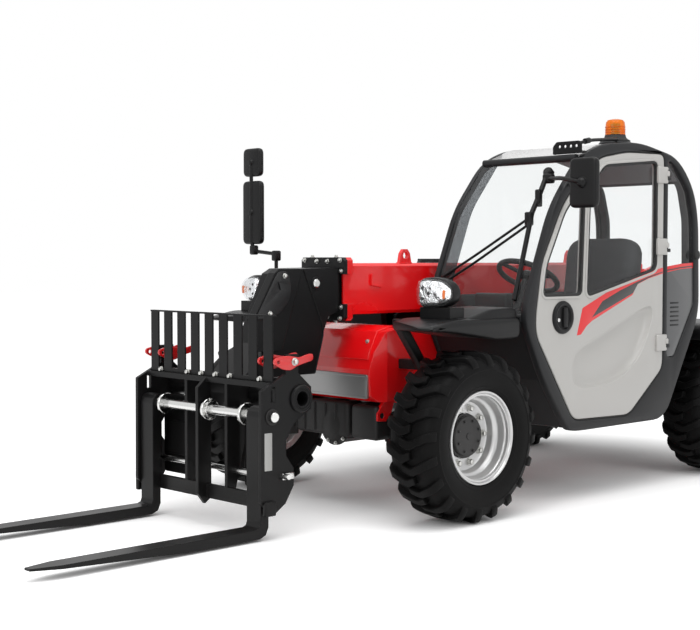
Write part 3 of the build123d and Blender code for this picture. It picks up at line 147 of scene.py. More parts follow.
bpy.ops.object.camera_add(location=CAMERA_PLACE)
camera = bpy.context.object
camera.name = "photo_camera"
camera.data.lens = CAMERA_LENS
camera.data.sensor_width = 36.0
camera.data.clip_end = 200.0
camera.rotation_euler = Vector(CAMERA_AIM).to_track_quat("-Z", "Y").to_euler()
bpy.context.scene.camera = camera
bpy.context.scene.view_settings.view_transform = "Standard"

# Tyres: black industrial rubber, moulded round a carcass with ring lines on the side walls.
# Bent lugs reach in from both shoulders by turns and end past the middle of the tread.
# The left and right tyres are mirror images, so that the bends always lead downwards in front.
FRONT_AXLE = 0.355
REAR_AXLE = -1.945
AXLE_HEIGHT = 0.415
TYRE_MIDDLE = 0.755
WHEELS = {
    "front_left": (FRONT_AXLE, 1),
    "front_right": (FRONT_AXLE, -1),
    "rear_left": (REAR_AXLE, 1),
    "rear_right": (REAR_AXLE, -1),
}
TYRE_RADIUS = 0.415
LUGS_PER_SIDE = 20
LUG_DRAFT = 0.006
DUST_COLOR = (0.30, 0.27, 0.235, 1.0)
COAT_ROUGHNESS = 0.06
MERGE_DISTANCE = 0.00001
SMOOTH_ANGLE = math.radians(36.0)
WALL_PROFILE = [
    (0.3900, 0.000), (0.3890, 0.070), (0.3840, 0.104), (0.3720, 0.127), (0.3540, 0.141), (0.3330, 0.1475),
    (0.3310, 0.1492), (0.3270, 0.1492), (0.3250, 0.1475), (0.3050, 0.1478), (0.2850, 0.1462),
    (0.2640, 0.1415), (0.2520, 0.1372), (0.2490, 0.1378), (0.2450, 0.1352), (0.2360, 0.1300),
    (0.2310, 0.1260), (0.2280, 0.1185), (0.2070, 0.1175),
]
LUG_STATIONS = [
    # run, tread y, tread radius, base y, base radius, place along the tread, half width
    (0.00, -0.030, 0.4145, -0.030, 0.382, 0.008, 0.0175),
    (0.26, 0.024, 0.4146, 0.024, 0.382, -0.013, 0.0195),
    (0.50, 0.078, 0.4138, 0.076, 0.380, 0.012, 0.0205),
    (0.70, 0.116, 0.4085, 0.106, 0.374, 0.030, 0.0215),
    (0.84, 0.137, 0.3920, 0.120, 0.366, 0.039, 0.0225),
    (1.00, 0.1496, 0.3520, 0.138, 0.338, 0.046, 0.0240),
]


def finish_group():
    """Shared look of a made surface: drifting colour, fine grain, rounded edges that
    rub through, and dust that gathers near the ground."""
    group = bpy.data.node_groups.new("made_surface", "ShaderNodeTree")
    for label, kind, value in (
        ("Color", "NodeSocketColor", (0.5, 0.5, 0.5, 1.0)),
        ("Worn Color", "NodeSocketColor", (0.5, 0.5, 0.5, 1.0)),
        ("Drift", "NodeSocketFloat", 0.1),
        ("Gloss Drift", "NodeSocketFloat", 0.1),
        ("Roughness", "NodeSocketFloat", 0.4),
        ("Grain Scale", "NodeSocketFloat", 300.0),
        ("Grain Height", "NodeSocketFloat", 0.0002),
        ("Wear", "NodeSocketFloat", 0.2),
        ("Dust", "NodeSocketFloat", 0.1),
        ("Edge Radius", "NodeSocketFloat", 0.003),
    ):
        socket = group.interface.new_socket(name=label, in_out="INPUT", socket_type=kind)
        socket.default_value = value
    for label, kind in (
        ("Color", "NodeSocketColor"),
        ("Roughness", "NodeSocketFloat"),
        ("Normal", "NodeSocketVector"),
    ):
        group.interface.new_socket(name=label, in_out="OUTPUT", socket_type=kind)
    given = add_node(group, "NodeGroupInput")
    result = add_node(group, "NodeGroupOutput")
    place = add_node(group, "ShaderNodeTexCoord")
    clouds = add_node(group, "ShaderNodeTexNoise", values=[("Scale", 2.6), ("Detail", 4.0)])
    centred = add_node(group, "ShaderNodeMath", "SUBTRACT", [(1, 0.5)])
    amount = add_node(group, "ShaderNodeMath", "MULTIPLY_ADD", [(2, 1.0)])
    tinted = add_node(group, "ShaderNodeVectorMath", "SCALE")
    grain = add_node(group, "ShaderNodeTexNoise", values=[("Detail", 3.0)])
    round_edge = add_node(group, "ShaderNodeBevel")
    round_edge.samples = 4
    flat = add_node(group, "ShaderNodeNewGeometry")
    turn = add_node(group, "ShaderNodeVectorMath", "DOT_PRODUCT")
    edge = add_node(group, "ShaderNodeMapRange", values=[("From Min", 0.985), ("From Max", 0.88)])
    chips = add_node(group, "ShaderNodeTexNoise", values=[("Scale", 38.0), ("Detail", 6.0)])
    chipped = add_node(group, "ShaderNodeMapRange", values=[("From Min", 0.50), ("From Max", 0.66)])
    rubbed = add_node(group, "ShaderNodeMath", "MULTIPLY")
    rubbed_amount = add_node(group, "ShaderNodeMath", "MULTIPLY")
    worn = add_node(group, "ShaderNodeMix")
    worn.data_type = "RGBA"
    height = add_node(group, "ShaderNodeSeparateXYZ")
    low = add_node(group, "ShaderNodeMapRange", values=[("From Min", 0.95), ("From Max", 0.05)])
    settled = add_node(group, "ShaderNodeMath", "MULTIPLY")
    settled_amount = add_node(group, "ShaderNodeMath", "MULTIPLY")
    dusty = add_node(group, "ShaderNodeMix")
    dusty.data_type = "RGBA"
    dusty.inputs["B"].default_value = DUST_COLOR
    gloss = add_node(group, "ShaderNodeMath", "MULTIPLY_ADD")
    matt = add_node(group, "ShaderNodeMath", "MULTIPLY_ADD", [(1, 0.5)])
    matt.use_clamp = True
    bump = add_node(group, "ShaderNodeBump", values=[("Strength", 1.0)])
    wire(
        group,
        (place, "Object", clouds, "Vector"),
        (place, "Object", grain, "Vector"),
        (place, "Object", chips, "Vector"),
        (place, "Object", height, 0),
        (clouds, "Fac", centred, 0),
        (centred, 0, amount, 0),
        (given, "Drift", amount, 1),
        (given, "Color", tinted, 0),
        (amount, 0, tinted, "Scale"),
        (given, "Edge Radius", round_edge, "Radius"),
        (round_edge, "Normal", turn, 0),
        (flat, "True Normal", turn, 1),
        (turn, "Value", edge, "Value"),
        (chips, "Fac", chipped, "Value"),
        (edge, 0, rubbed, 0),
        (chipped, 0, rubbed, 1),
        (rubbed, 0, rubbed_amount, 0),
        (given, "Wear", rubbed_amount, 1),
        (rubbed_amount, 0, worn, "Factor"),
        (tinted, "Vector", worn, "A"),
        (given, "Worn Color", worn, "B"),
        (height, "Z", low, "Value"),
        (low, 0, settled, 0),
        (clouds, "Fac", settled, 1),
        (settled, 0, settled_amount, 0),
        (given, "Dust", settled_amount, 1),
        (settled_amount, 0, dusty, "Factor"),
        (worn, "Result", dusty, "A"),
        (centred, 0, gloss, 0),
        (given, "Gloss Drift", gloss, 1),
        (given, "Roughness", gloss, 2),
        (settled_amount, 0, matt, 0),
        (gloss, 0, matt, 2),
        (given, "Grain Scale", grain, "Scale"),
        (grain, "Fac", bump, "Height"),
        (given, "Grain Height", bump, "Distance"),
        (round_edge, "Normal", bump, "Normal"),
        (dusty, "Result", result, "Color"),
        (matt, 0, result, "Roughness"),
        (bump, "Normal", result, "Normal"),
    )
    return group


MADE_SURFACE = finish_group()


def finish(name, color, roughness, metallic=0.0, coat=0.0, specular=0.5, **look):
    """A material whose colour, gloss and relief come from the shared surface group."""
    material = bpy.data.materials.new(name)
    material.use_nodes = True
    nodes = material.node_tree.nodes
    shader = nodes["Principled BSDF"]
    made = nodes.new("ShaderNodeGroup")
    made.node_tree = MADE_SURFACE
    made.inputs["Color"].default_value = (*color, 1.0)
    made.inputs["Roughness"].default_value = roughness
    for label, value in look.items():
        socket = made.inputs[label.replace("_", " ").title()]
        socket.default_value = (*value, 1.0) if isinstance(value, tuple) else value
    shader.inputs["Metallic"].default_value = metallic
    shader.inputs["Specular IOR Level"].default_value = specular
    shader.inputs["Coat Weight"].default_value = coat
    shader.inputs["Coat Roughness"].default_value = COAT_ROUGHNESS
    wire(
        material.node_tree,
        (made, "Color", shader, "Base Color"),
        (made, "Roughness", shader, "Roughness"),
        (made, "Normal", shader, "Normal"),
    )
    return material


def coat_nodes(material, *names):
    """Give CAD nodes their finish."""
    for name in names:
        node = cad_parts[name]
        node.data.materials.clear()
        node.data.materials.append(material)


def pick(piece):
    """Select one piece alone and make it the active one."""
    bpy.ops.object.select_all(action="DESELECT")
    piece.select_set(True)
    bpy.context.view_layer.objects.active = piece


def break_edges(piece, width, segments=2, angle=34.0):
    """Round off the edges of a piece that turn by more than the angle, and smooth its shading."""
    pick(piece)
    bevel = piece.modifiers.new("broken_edges", "BEVEL")
    bevel.width = width
    bevel.segments = segments
    bevel.limit_method = "ANGLE"
    bevel.angle_limit = math.radians(angle)
    bpy.ops.object.modifier_apply(modifier=bevel.name)
    bpy.ops.object.shade_smooth_by_angle(angle=SMOOTH_ANGLE)
    return piece


def close_up(piece):
    """Merge doubled points, drop loose edges and faces without area, and turn all faces outwards."""
    bpy.context.view_layer.objects.active = piece
    bpy.ops.object.mode_set(mode="EDIT")
    bpy.ops.mesh.select_all(action="SELECT")
    bpy.ops.mesh.remove_doubles(threshold=MERGE_DISTANCE)
    bpy.ops.mesh.dissolve_degenerate(threshold=MERGE_DISTANCE)
    bpy.ops.mesh.delete_loose()
    bpy.ops.mesh.select_all(action="SELECT")
    bpy.ops.mesh.normals_make_consistent(inside=False)
    bpy.ops.object.mode_set(mode="OBJECT")
    return piece


def turned(name, profile, centre, axis, across, steps):
    """A lathed piece: its closed profile of radius and height is drawn on a ring and spun round the axis."""
    bpy.ops.object.select_all(action="DESELECT")
    bpy.ops.mesh.primitive_circle_add(vertices=len(profile), radius=1.0, fill_type="NOTHING")
    piece = bpy.context.object
    piece.name = name
    for vertex, (radius, height) in zip(piece.data.vertices, profile):
        vertex.co = Vector(centre) + Vector(across) * radius + Vector(axis) * height
    bpy.ops.object.mode_set(mode="EDIT")
    bpy.ops.mesh.select_all(action="SELECT")
    bpy.ops.mesh.spin(steps=steps, angle=2 * math.pi, center=centre, axis=axis)
    bpy.ops.object.mode_set(mode="OBJECT")
    close_up(piece)
    bpy.ops.object.shade_smooth_by_angle(angle=math.radians(30.0))
    return piece


def shaped_block(name, along, across, place):
    """A closed block of squares whose points, in -1 to 1 with 0 or 1 for its height, are put in place."""
    bpy.ops.object.select_all(action="DESELECT")
    bpy.ops.mesh.primitive_grid_add(x_subdivisions=across, y_subdivisions=along, size=2.0)
    piece = bpy.context.object
    piece.name = name
    bpy.ops.object.mode_set(mode="EDIT")
    bpy.ops.mesh.select_all(action="SELECT")
    bpy.ops.mesh.extrude_region_move(TRANSFORM_OT_translate={"value": (0.0, 0.0, 1.0)})
    bpy.ops.object.mode_set(mode="OBJECT")
    for vertex in piece.data.vertices:
        vertex.co = place(*vertex.co)
    return close_up(piece)


def copy_of(piece, matrix):
    """A copy of a piece with its own mesh, moved by a matrix."""
    double = piece.copy()
    double.data = piece.data.copy()
    double.data.transform(matrix)
    bpy.context.collection.objects.link(double)
    if matrix.determinant() < 0:
        double.data.flip_normals()
    return double


def joined(name, pieces):
    """Several meshes made into one piece."""
    bpy.ops.object.select_all(action="DESELECT")
    for piece in pieces:
        piece.select_set(True)
    bpy.context.view_layer.objects.active = pieces[0]
    bpy.ops.object.join()
    pieces[0].name = name
    return pieces[0]


def fit_out(piece, body, material):
    """Give a finished piece its material and its body."""
    piece.data.materials.clear()
    piece.data.materials.append(material)
    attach(piece, body)
    return piece


def lug_point(across, along, height):
    """Where a point of a lug's block lies on the tread."""
    run = (along + 1.0) / 2.0
    for first, second in zip(LUG_STATIONS, LUG_STATIONS[1:]):
        if run <= second[0] + 1e-6:
            break
    share = (run - first[0]) / (second[0] - first[0])
    _, tread_y, tread_r, base_y, base_r, place, half = [a + (b - a) * share for a, b in zip(first, second)]
    y = base_y + (tread_y - base_y) * height
    radius = base_r + (tread_r - base_r) * height
    turn = (place + across * (half + (1.0 - height) * LUG_DRAFT)) / TYRE_RADIUS
    return Vector((radius * math.cos(turn), y, radius * math.sin(turn)))


RUBBER = finish(
    "tyre_rubber", (0.0040, 0.0040, 0.0042), 0.50, specular=0.08, grain_scale=420.0, grain_height=0.00035,
    drift=0.5, dust=0.015, wear=0.20, worn_color=(0.022, 0.022, 0.021), edge_radius=0.004,
)
wall_loop = WALL_PROFILE + [(radius, -y) for radius, y in reversed(WALL_PROFILE[1:])]
carcass = turned("tyre_carcass", wall_loop, (0.0, 0.0, 0.0), (0.0, 1.0, 0.0), (1.0, 0.0, 0.0), 96)
lug = break_edges(shaped_block("tyre_lug", 10, 2, lug_point), 0.0028, segments=1, angle=40.0)
tread = [carcass]
for number in range(LUGS_PER_SIDE):
    turn = -2 * math.pi * number / LUGS_PER_SIDE
    tread.append(copy_of(lug, Matrix.Rotation(turn, 4, "Y")))
    half_turn = turn - math.pi / LUGS_PER_SIDE
    tread.append(copy_of(lug, Matrix.Rotation(half_turn, 4, "Y") @ Matrix.Scale(-1.0, 4, (0.0, 1.0, 0.0))))
bpy.data.objects.remove(lug)
tyre_pattern = joined("tyre_pattern", tread)
for place, (axle_x, side) in WHEELS.items():
    wheel_place = Matrix.Translation((axle_x, side * TYRE_MIDDLE, AXLE_HEIGHT))
    tyre = copy_of(tyre_pattern, wheel_place @ Matrix.Scale(side, 4, (0.0, 1.0, 0.0)))
    tyre.name = f"lugged_tyre_{place}"
    fit_out(tyre, f"wheel_{place}", RUBBER)
    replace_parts(tyre, f"tyre_{place}")
bpy.data.objects.remove(tyre_pattern)

# Wheel rims: pressed steel in silver paint, with a stepped outer lip, a deep well and a welded disc.
# The black planetary hub stands through the disc, and ten nuts on studs hold the rim to it.
RIM_PROFILE = [
    (0.2276, 0.1190), (0.2276, 0.1265), (0.2256, 0.1296), (0.2220, 0.1302), (0.2180, 0.1288),
    (0.2150, 0.1245), (0.2120, 0.1150), (0.2085, 0.1070), (0.2040, 0.1030), (0.2005, 0.0985),
    (0.1985, 0.0920), (0.1965, 0.0640), (0.1940, 0.0560), (0.1895, 0.0505), (0.1840, 0.0480),
    (0.1795, 0.0455), (0.1765, 0.0405), (0.1745, 0.0320), (0.1730, 0.0180), (0.1690, 0.0095),
    (0.1600, 0.0055), (0.1120, 0.0050), (0.1100, 0.0030), (0.1100, -0.0090), (0.1640, -0.0100),
    (0.1860, -0.0060), (0.1900, -0.0200), (0.1920, -0.1000), (0.2000, -0.1160), (0.2160, -0.1265),
    (0.2230, -0.1300), (0.2276, -0.1270), (0.2276, -0.1190), (0.2045, -0.1180), (0.2045, 0.1180),
]
HUB_PROFILE = [
    (0.0000, 0.0440), (0.0160, 0.0440), (0.0170, 0.0405), (0.0900, 0.0395), (0.0960, 0.0380),
    (0.1000, 0.0330), (0.1010, 0.0200), (0.1085, 0.0180), (0.1085, -0.0545), (0.0000, -0.0545),
]
NUT_CIRCLE = 0.138
RIM_NUTS = 10
NUT_ACROSS = 0.024
NUT_LIFT = 0.005
HUB_BOLTS = 8
HUB_BOLT_CIRCLE = 0.078
HUB_BOLT_LIFT = 0.0396
HUB_BOLT_ACROSS = 0.010


def hex_bolts(name, places, across, height=0.62):
    """Hex heads on washers: one is modelled standing up, the others are copies on their matrices."""
    bpy.ops.object.select_all(action="DESELECT")
    bpy.ops.mesh.primitive_cylinder_add(
        vertices=20, radius=0.82 * across, depth=0.16 * across, location=(0.0, 0.0, 0.08 * across)
    )
    washer = bpy.context.object
    bpy.ops.mesh.primitive_cylinder_add(
        vertices=6, radius=across / math.sqrt(3.0), depth=height * across,
        location=(0.0, 0.0, (0.16 + height / 2) * across)
    )
    head = bpy.context.object
    bpy.ops.object.mode_set(mode="EDIT")
    bpy.ops.mesh.select_all(action="DESELECT")
    bpy.ops.object.mode_set(mode="OBJECT")
    for face in head.data.polygons:
        face.select = face.normal.z > 0.9
    bpy.ops.object.mode_set(mode="EDIT")
    bpy.ops.mesh.inset(thickness=0.10 * across)
    bpy.ops.transform.translate(value=(0.0, 0.0, 0.05 * across))
    bpy.ops.object.mode_set(mode="OBJECT")
    for part in (washer, head):
        pick(part)
        bpy.ops.object.transform_apply(location=True, rotation=True, scale=True)
    model = joined(
        "bolt_model",
        [break_edges(washer, 0.03 * across, segments=1), break_edges(head, 0.02 * across, segments=1)]
    )
    bolts = [copy_of(model, matrix) for matrix in places]
    bpy.data.objects.remove(model)
    return joined(name, bolts)


def facing(point, normal):
    """A matrix that stands a piece on a point, along a direction."""
    return Matrix.Translation(point) @ Vector(normal).to_track_quat("Z", "Y").to_matrix().to_4x4()


def bolt_circle(centre, outward, radius, lift, count, shift=0.5):
    """Places for bolts on a circle round a sideways axis, lifted off the circle's plane."""
    places = []
    for number in range(count):
        turn = 2 * math.pi * (number + shift) / count
        spot = centre + radius * Vector((math.cos(turn), 0.0, math.sin(turn))) + lift * Vector(outward)
        places.append(facing(spot, outward))
    return places


RIM_SILVER = finish(
    "silver_rim_paint", (0.60, 0.60, 0.60), 0.30, metallic=0.55, coat=0.3, grain_scale=900.0,
    grain_height=0.00006, worn_color=(0.30, 0.29, 0.28), dust=0.10, edge_radius=0.002,
)
HUB_BLACK = finish(
    "hub_black_paint", (0.018, 0.018, 0.019), 0.42, specular=0.35, grain_scale=260.0, grain_height=0.0004,
    dust=0.10, worn_color=(0.10, 0.10, 0.10),
)
ZINC = finish(
    "zinc_plated_steel", (0.55, 0.55, 0.53), 0.32, metallic=1.0, grain_scale=700.0, grain_height=0.00005,
    wear=0.3, worn_color=(0.35, 0.34, 0.32), edge_radius=0.001,
)
for place, (axle_x, side) in WHEELS.items():
    centre = Vector((axle_x, side * TYRE_MIDDLE, AXLE_HEIGHT))
    outward = (0.0, float(side), 0.0)
    rim = turned(f"dished_rim_{place}", RIM_PROFILE, centre, outward, (1.0, 0.0, 0.0), 72)
    fit_out(rim, f"wheel_{place}", RIM_SILVER)
    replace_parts(rim, f"rim_{place}")
    hub = turned(f"planetary_hub_{place}", HUB_PROFILE, centre, outward, (1.0, 0.0, 0.0), 48)
    fit_out(hub, f"wheel_{place}", HUB_BLACK)
    studs = bolt_circle(centre, outward, NUT_CIRCLE, NUT_LIFT, RIM_NUTS, 0.0)
    fit_out(
        hex_bolts(f"rim_nuts_{place}", studs, NUT_ACROSS, height=0.8), f"wheel_{place}", ZINC
    )
    caps = bolt_circle(centre, outward, HUB_BOLT_CIRCLE, HUB_BOLT_LIFT, HUB_BOLTS)
    fit_out(
        hex_bolts(f"hub_bolts_{place}", caps, HUB_BOLT_ACROSS), f"wheel_{place}", HUB_BLACK
    )

# Axles: cast housings in black paint, with a bolted drive cover and ribs along the beam.
# Each end is a yoke, and caps close the kingpins that hold the steering knuckles in it.
# A moulded shield with ribs stands in front of the front axle.
AXLE_PLACES = ((0, 1), (-2300, -1))
AXLE_MIDDLE = 415
RIB_PLACES = (215, 300, 385)
KINGPIN_Y = 590
KINGPIN_TOP = 525
KINGPIN_FOOT = 305
DRIVE_COVER = [(0, 38), (40, 36), (70, 26), (84, 10), (88, 2), (106, 2), (108, 0), (108, -12), (0, -12)]
KINGPIN_CAP = [(0, 14), (26, 14), (34, 9), (37, 0), (0, 0)]


def at(x, y, z):
    """A point in millimetres, counted forward from the front axle."""
    return Vector((FRONT_AXLE + x / 1000, y / 1000, z / 1000))


def rounded_block(name, centre, size, edge, segments=3):
    """A block in millimetres with rounded edges."""
    bpy.ops.object.select_all(action="DESELECT")
    bpy.ops.mesh.primitive_cube_add(size=1.0, location=at(*centre))
    piece = bpy.context.object
    piece.name = name
    piece.scale = [side / 1000 for side in size]
    bpy.ops.object.transform_apply(location=True, rotation=True, scale=True)
    return break_edges(piece, edge / 1000, segments)


def lathed(name, profile, centre, axis, steps=40):
    """A turned piece in millimetres: radius and height along its axis."""
    axis = Vector(axis)
    shape = [(radius / 1000, height / 1000) for radius, height in profile]
    return turned(name, shape, at(*centre), axis, axis.orthogonal().normalized(), steps)


def bolt_ring(name, centre, axis, circle, count, across):
    """Hex bolts on a circle round an axis, in millimetres."""
    axis = Vector(axis)
    side = axis.orthogonal().normalized() * circle / 1000
    spots = []
    for number in range(count):
        turn = Matrix.Rotation(2 * math.pi * (number + 0.5) / count, 3, axis)
        spots.append(facing(at(*centre) + turn @ side, axis))
    return hex_bolts(name, spots, across / 1000)


CAST_BLACK = finish(
    "running_gear_black", (0.011, 0.011, 0.012), 0.48, specular=0.3, grain_scale=160.0, grain_height=0.0007,
    dust=0.12, worn_color=(0.07, 0.07, 0.07), edge_radius=0.005,
)
coat_nodes(CAST_BLACK, "front_axle", "rear_axle", *[f"knuckle_{place}" for place in WHEELS])
for axle_x, way in AXLE_PLACES:
    end = "front" if way > 0 else "rear"
    cover_place = (axle_x + way * 150, 0, AXLE_MIDDLE)
    castings = [lathed("drive_cover", DRIVE_COVER, cover_place, (way, 0, 0))]
    for side in (1, -1):
        castings += [
            rounded_block("axle_rib", (axle_x, side * y, AXLE_MIDDLE), (150, 13, 138), 5) for y in RIB_PLACES
        ]
        for z, up in ((KINGPIN_TOP, 1), (KINGPIN_FOOT, -1)):
            castings.append(lathed("kingpin_cap", KINGPIN_CAP, (axle_x, side * KINGPIN_Y, z), (0, 0, up), 28))
    fit_out(joined(f"axle_castings_{end}", castings), "chassis", CAST_BLACK)
    flange = (axle_x + way * 152, 0, AXLE_MIDDLE)
    cover_bolts = bolt_ring(f"drive_cover_bolts_{end}", flange, (way, 0, 0), 97, 10, 13)
    fit_out(cover_bolts, "chassis", ZINC)
shield = [rounded_block("shield_main", (112, -75, 452), (128, 400, 186), 26)]
shield += [rounded_block("shield_side", (108, 232, 446), (120, 190, 176), 24)]
shield += [rounded_block("shield_rib", (150, y, 452), (66, 12, 150), 5) for y in (-200, -120, -40, 40)]
fit_out(joined("axle_shield", shield), "chassis", CAST_BLACK)

# Main frame: two red side plates with cross plates between them and towers for the boom's pivot.
# The plates are cut from thick steel, welded and painted in gloss red.
RED_PAINT = finish(
    "gloss_red_paint", (0.92, 0.004, 0.007), 0.26, coat=0.55, grain_scale=60.0, grain_height=0.00025,
    drift=0.10, gloss_drift=0.12, wear=0.12, worn_color=(0.22, 0.012, 0.012), dust=0.05, edge_radius=0.006,
)
coat_nodes(RED_PAINT, "main_frame", "front_cowl", "outer_boom")

# Front cowl: folded red sheet over the front of the frame, with a bolted lid on its upper facets.
# A bare grey plate with raised edges sits on the nose, and two tow lugs stand out underneath.
LID_SECTION = [
    (20, 926), (40, 924), (120, 904), (176, 800), (184, 768), (190, 769), (183, 803), (125, 911), (41, 932),
    (20, 934)
]
LID_HALF = 292
PLATE_LOW = 572
PLATE_HIGH = 694
PLATE_HALF = 298
PLATE_RIM = 12
FACET_NORMAL = (0.882, 0.0, 0.471)


def eased(points, reach, steps=5):
    """A closed outline with its corners eased off over a reach."""
    corners = [Vector(point) for point in points]
    line = []
    for index, corner in enumerate(corners):
        before = corners[index - 1] - corner
        after = corners[(index + 1) % len(corners)] - corner
        start = corner + before.normalized() * min(reach, 0.48 * before.length)
        end = corner + after.normalized() * min(reach, 0.48 * after.length)
        for step in range(steps + 1):
            share = step / steps
            line.append(start * (1 - share) ** 2 + corner * 2 * share * (1 - share) + end * share ** 2)
    return line


def four_corners(near, far, low, high):
    """A closed outline with four corners."""
    return [(near, low), (far, low), (far, high), (near, high)]


def side_on(y):
    """Place of a drawing that is seen from the machine's side, at y."""
    return Matrix.Translation((FRONT_AXLE, y / 1000, 0.0)) @ Matrix.Rotation(math.radians(90.0), 4, "X")


def front_on(x):
    """Place of a drawing of y and z that is seen from the front, at x."""
    return Matrix(((0, 0, 1, FRONT_AXLE + x / 1000), (1, 0, 0, 0), (0, 1, 0, 0), (0, 0, 0, 1)))


def new_curve(name):
    """An empty curve, as the active piece."""
    bpy.ops.object.select_all(action="DESELECT")
    bpy.ops.object.add(type="CURVE")
    bpy.context.object.name = name
    return bpy.context.object


def add_line(drawing, points, closed):
    """A line of straight runs through points in metres."""
    spline = drawing.splines.new("POLY")
    spline.points.add(len(points) - 1)
    for point, spot in zip(spline.points, points):
        point.co = (*spot, 1.0)
    spline.use_cyclic_u = closed


def cut_panel(name, outlines, thickness, edge, place):
    """A flat piece in millimetres: its outline and holes are drawn as one filled curve, which gets its
    thickness and rounded edges, is made a mesh and put in its place."""
    piece = new_curve(name)
    drawing = piece.data
    drawing.dimensions = "2D"
    drawing.fill_mode = "BOTH"
    drawing.extrude = (thickness / 2 - edge) / 1000
    drawing.bevel_depth = edge / 1000
    drawing.bevel_resolution = 2
    drawing.offset = -edge / 1000
    for outline in outlines:
        add_line(drawing, [(x / 1000, y / 1000, 0.0) for x, y in outline], True)
    bpy.ops.object.convert(target="MESH")
    piece = bpy.context.object
    piece.data.transform(place)
    close_up(piece)
    bpy.ops.object.shade_smooth_by_angle(angle=SMOOTH_ANGLE)
    return piece


lid = cut_panel("cowl_lid", [LID_SECTION], 2 * LID_HALF, 2, side_on(0))
fit_out(lid, "chassis", RED_PAINT)
lid_spots = [facing(at(152, y, 857), FACET_NORMAL) for y in (-250, 250)]
fit_out(hex_bolts("cowl_lid_bolts", lid_spots, 0.014), "chassis", ZINC)
PLATE_GREY = finish(
    "brushed_plate_grey", (0.30, 0.30, 0.30), 0.36, metallic=0.85, grain_scale=240.0, grain_height=0.0002,
    drift=0.25, worn_color=(0.5, 0.5, 0.5), edge_radius=0.002,
)
plate_face = eased(four_corners(-PLATE_HALF, PLATE_HALF, PLATE_LOW, PLATE_HIGH), 14)
plate_field = eased(
    four_corners(
        PLATE_RIM - PLATE_HALF, PLATE_HALF - PLATE_RIM, PLATE_LOW + PLATE_RIM, PLATE_HIGH - PLATE_RIM
    ),
    8
)
nose_plate = joined("nose_plate", [
    cut_panel("plate_back", [plate_face], 10, 2, front_on(194)),
    cut_panel("plate_rim", [plate_face, plate_field], 6, 2, front_on(200)),
])
fit_out(nose_plate, "chassis", PLATE_GREY)

# Counterweight: one thick iron casting in anthracite paint between the rear wheels.
# A plain steel pin with a flat head drops through its slot to hold a drawbar.
ANTHRACITE = finish(
    "anthracite_paint", (0.021, 0.0215, 0.023), 0.38, specular=0.18, grain_scale=420.0, grain_height=0.00018,
    drift=0.18, dust=0.05, gloss_drift=0.15, wear=0.18, worn_color=(0.10, 0.10, 0.10), edge_radius=0.008,
)
coat_nodes(ANTHRACITE, "counterweight")
TOW_PIN = [(0, 0), (11, 0), (14, 6), (14, 300), (24, 302), (24, 314), (10, 318), (0, 318)]
tow_pin = lathed("tow_pin", TOW_PIN, (-2850, 0, 530), (0, 0, 1), 24)
fit_out(tow_pin, "chassis", ZINC)

# Boom: a welded box tube in gloss red, pivoted behind the cab, with a split collar round its mouth.
# Weld beads run round the collar, and a small folded bracket is welded to the left side.
BRACKET = [(18, 1196), (6, 1196), (6, 1146), (-52, 1136), (-52, 1124), (18, 1136)]


def tube(name, points, radius, reach=30.0):
    """A round bar or tube through points in millimetres, with eased bends and closed ends."""
    piece = new_curve(name)
    piece.data.dimensions = "3D"
    piece.data.bevel_depth = radius / 1000
    piece.data.bevel_resolution = 4
    piece.data.use_fill_caps = True
    path = [Vector(point) for point in points]
    bends = eased(path, reach)[6:-6] if len(path) > 2 else []
    path = [path[0], *bends, path[-1]]
    add_line(piece.data, [at(*spot) for spot in path], False)
    bpy.ops.object.convert(target="MESH")
    piece = bpy.context.object
    close_up(piece)
    bpy.ops.object.shade_smooth_by_angle(angle=SMOOTH_ANGLE)
    return piece


beads = []
for side in (1, -1):
    for z in (1046, 1196):
        end = 1252 if z > 1121 else 990
        beads.append(
            tube("weld_bead", [(168, side * 131, z), (168, side * 131, end), (168, side * 20, end)], 5, 12)
        )
    beads.append(tube("weld_bead", [(-308, side * 10 + 105, 1253), (-216, side * 10 + 105, 1253)], 4))
bracket = cut_panel("boom_bracket", [eased(BRACKET, 5)], 16, 2, side_on(137))
fit_out(joined("boom_welds", [bracket, *beads]), "boom", RED_PAINT)

# Wear pads: black cast caps above and below the boom's mouth, which guide the inner tube.
# Each is held by bolts through the split collar, in front and from above or below.
PLASTIC = finish(
    "grained_black_plastic", (0.007, 0.007, 0.0075), 0.38, specular=0.20, grain_scale=520.0,
    grain_height=0.00035, drift=0.25, dust=0.03, worn_color=(0.04, 0.04, 0.04), edge_radius=0.004,
)
coat_nodes(PLASTIC, "boom_pads")
pad_spots = []
for side in (1, -1):
    for y, z in ((40, 1262), (134, 1268), (140, 1212), (40, 980), (134, 974), (140, 1030)):
        pad_spots.append(facing(at(233, side * y, z), (1, 0, 0)))
    for z, way in ((1282, 1), (960, -1)):
        pad_spots.append(facing(at(220, side * 90, z), (0, 0, way)))
fit_out(hex_bolts("pad_bolts", pad_spots, 0.015), "boom", ZINC)

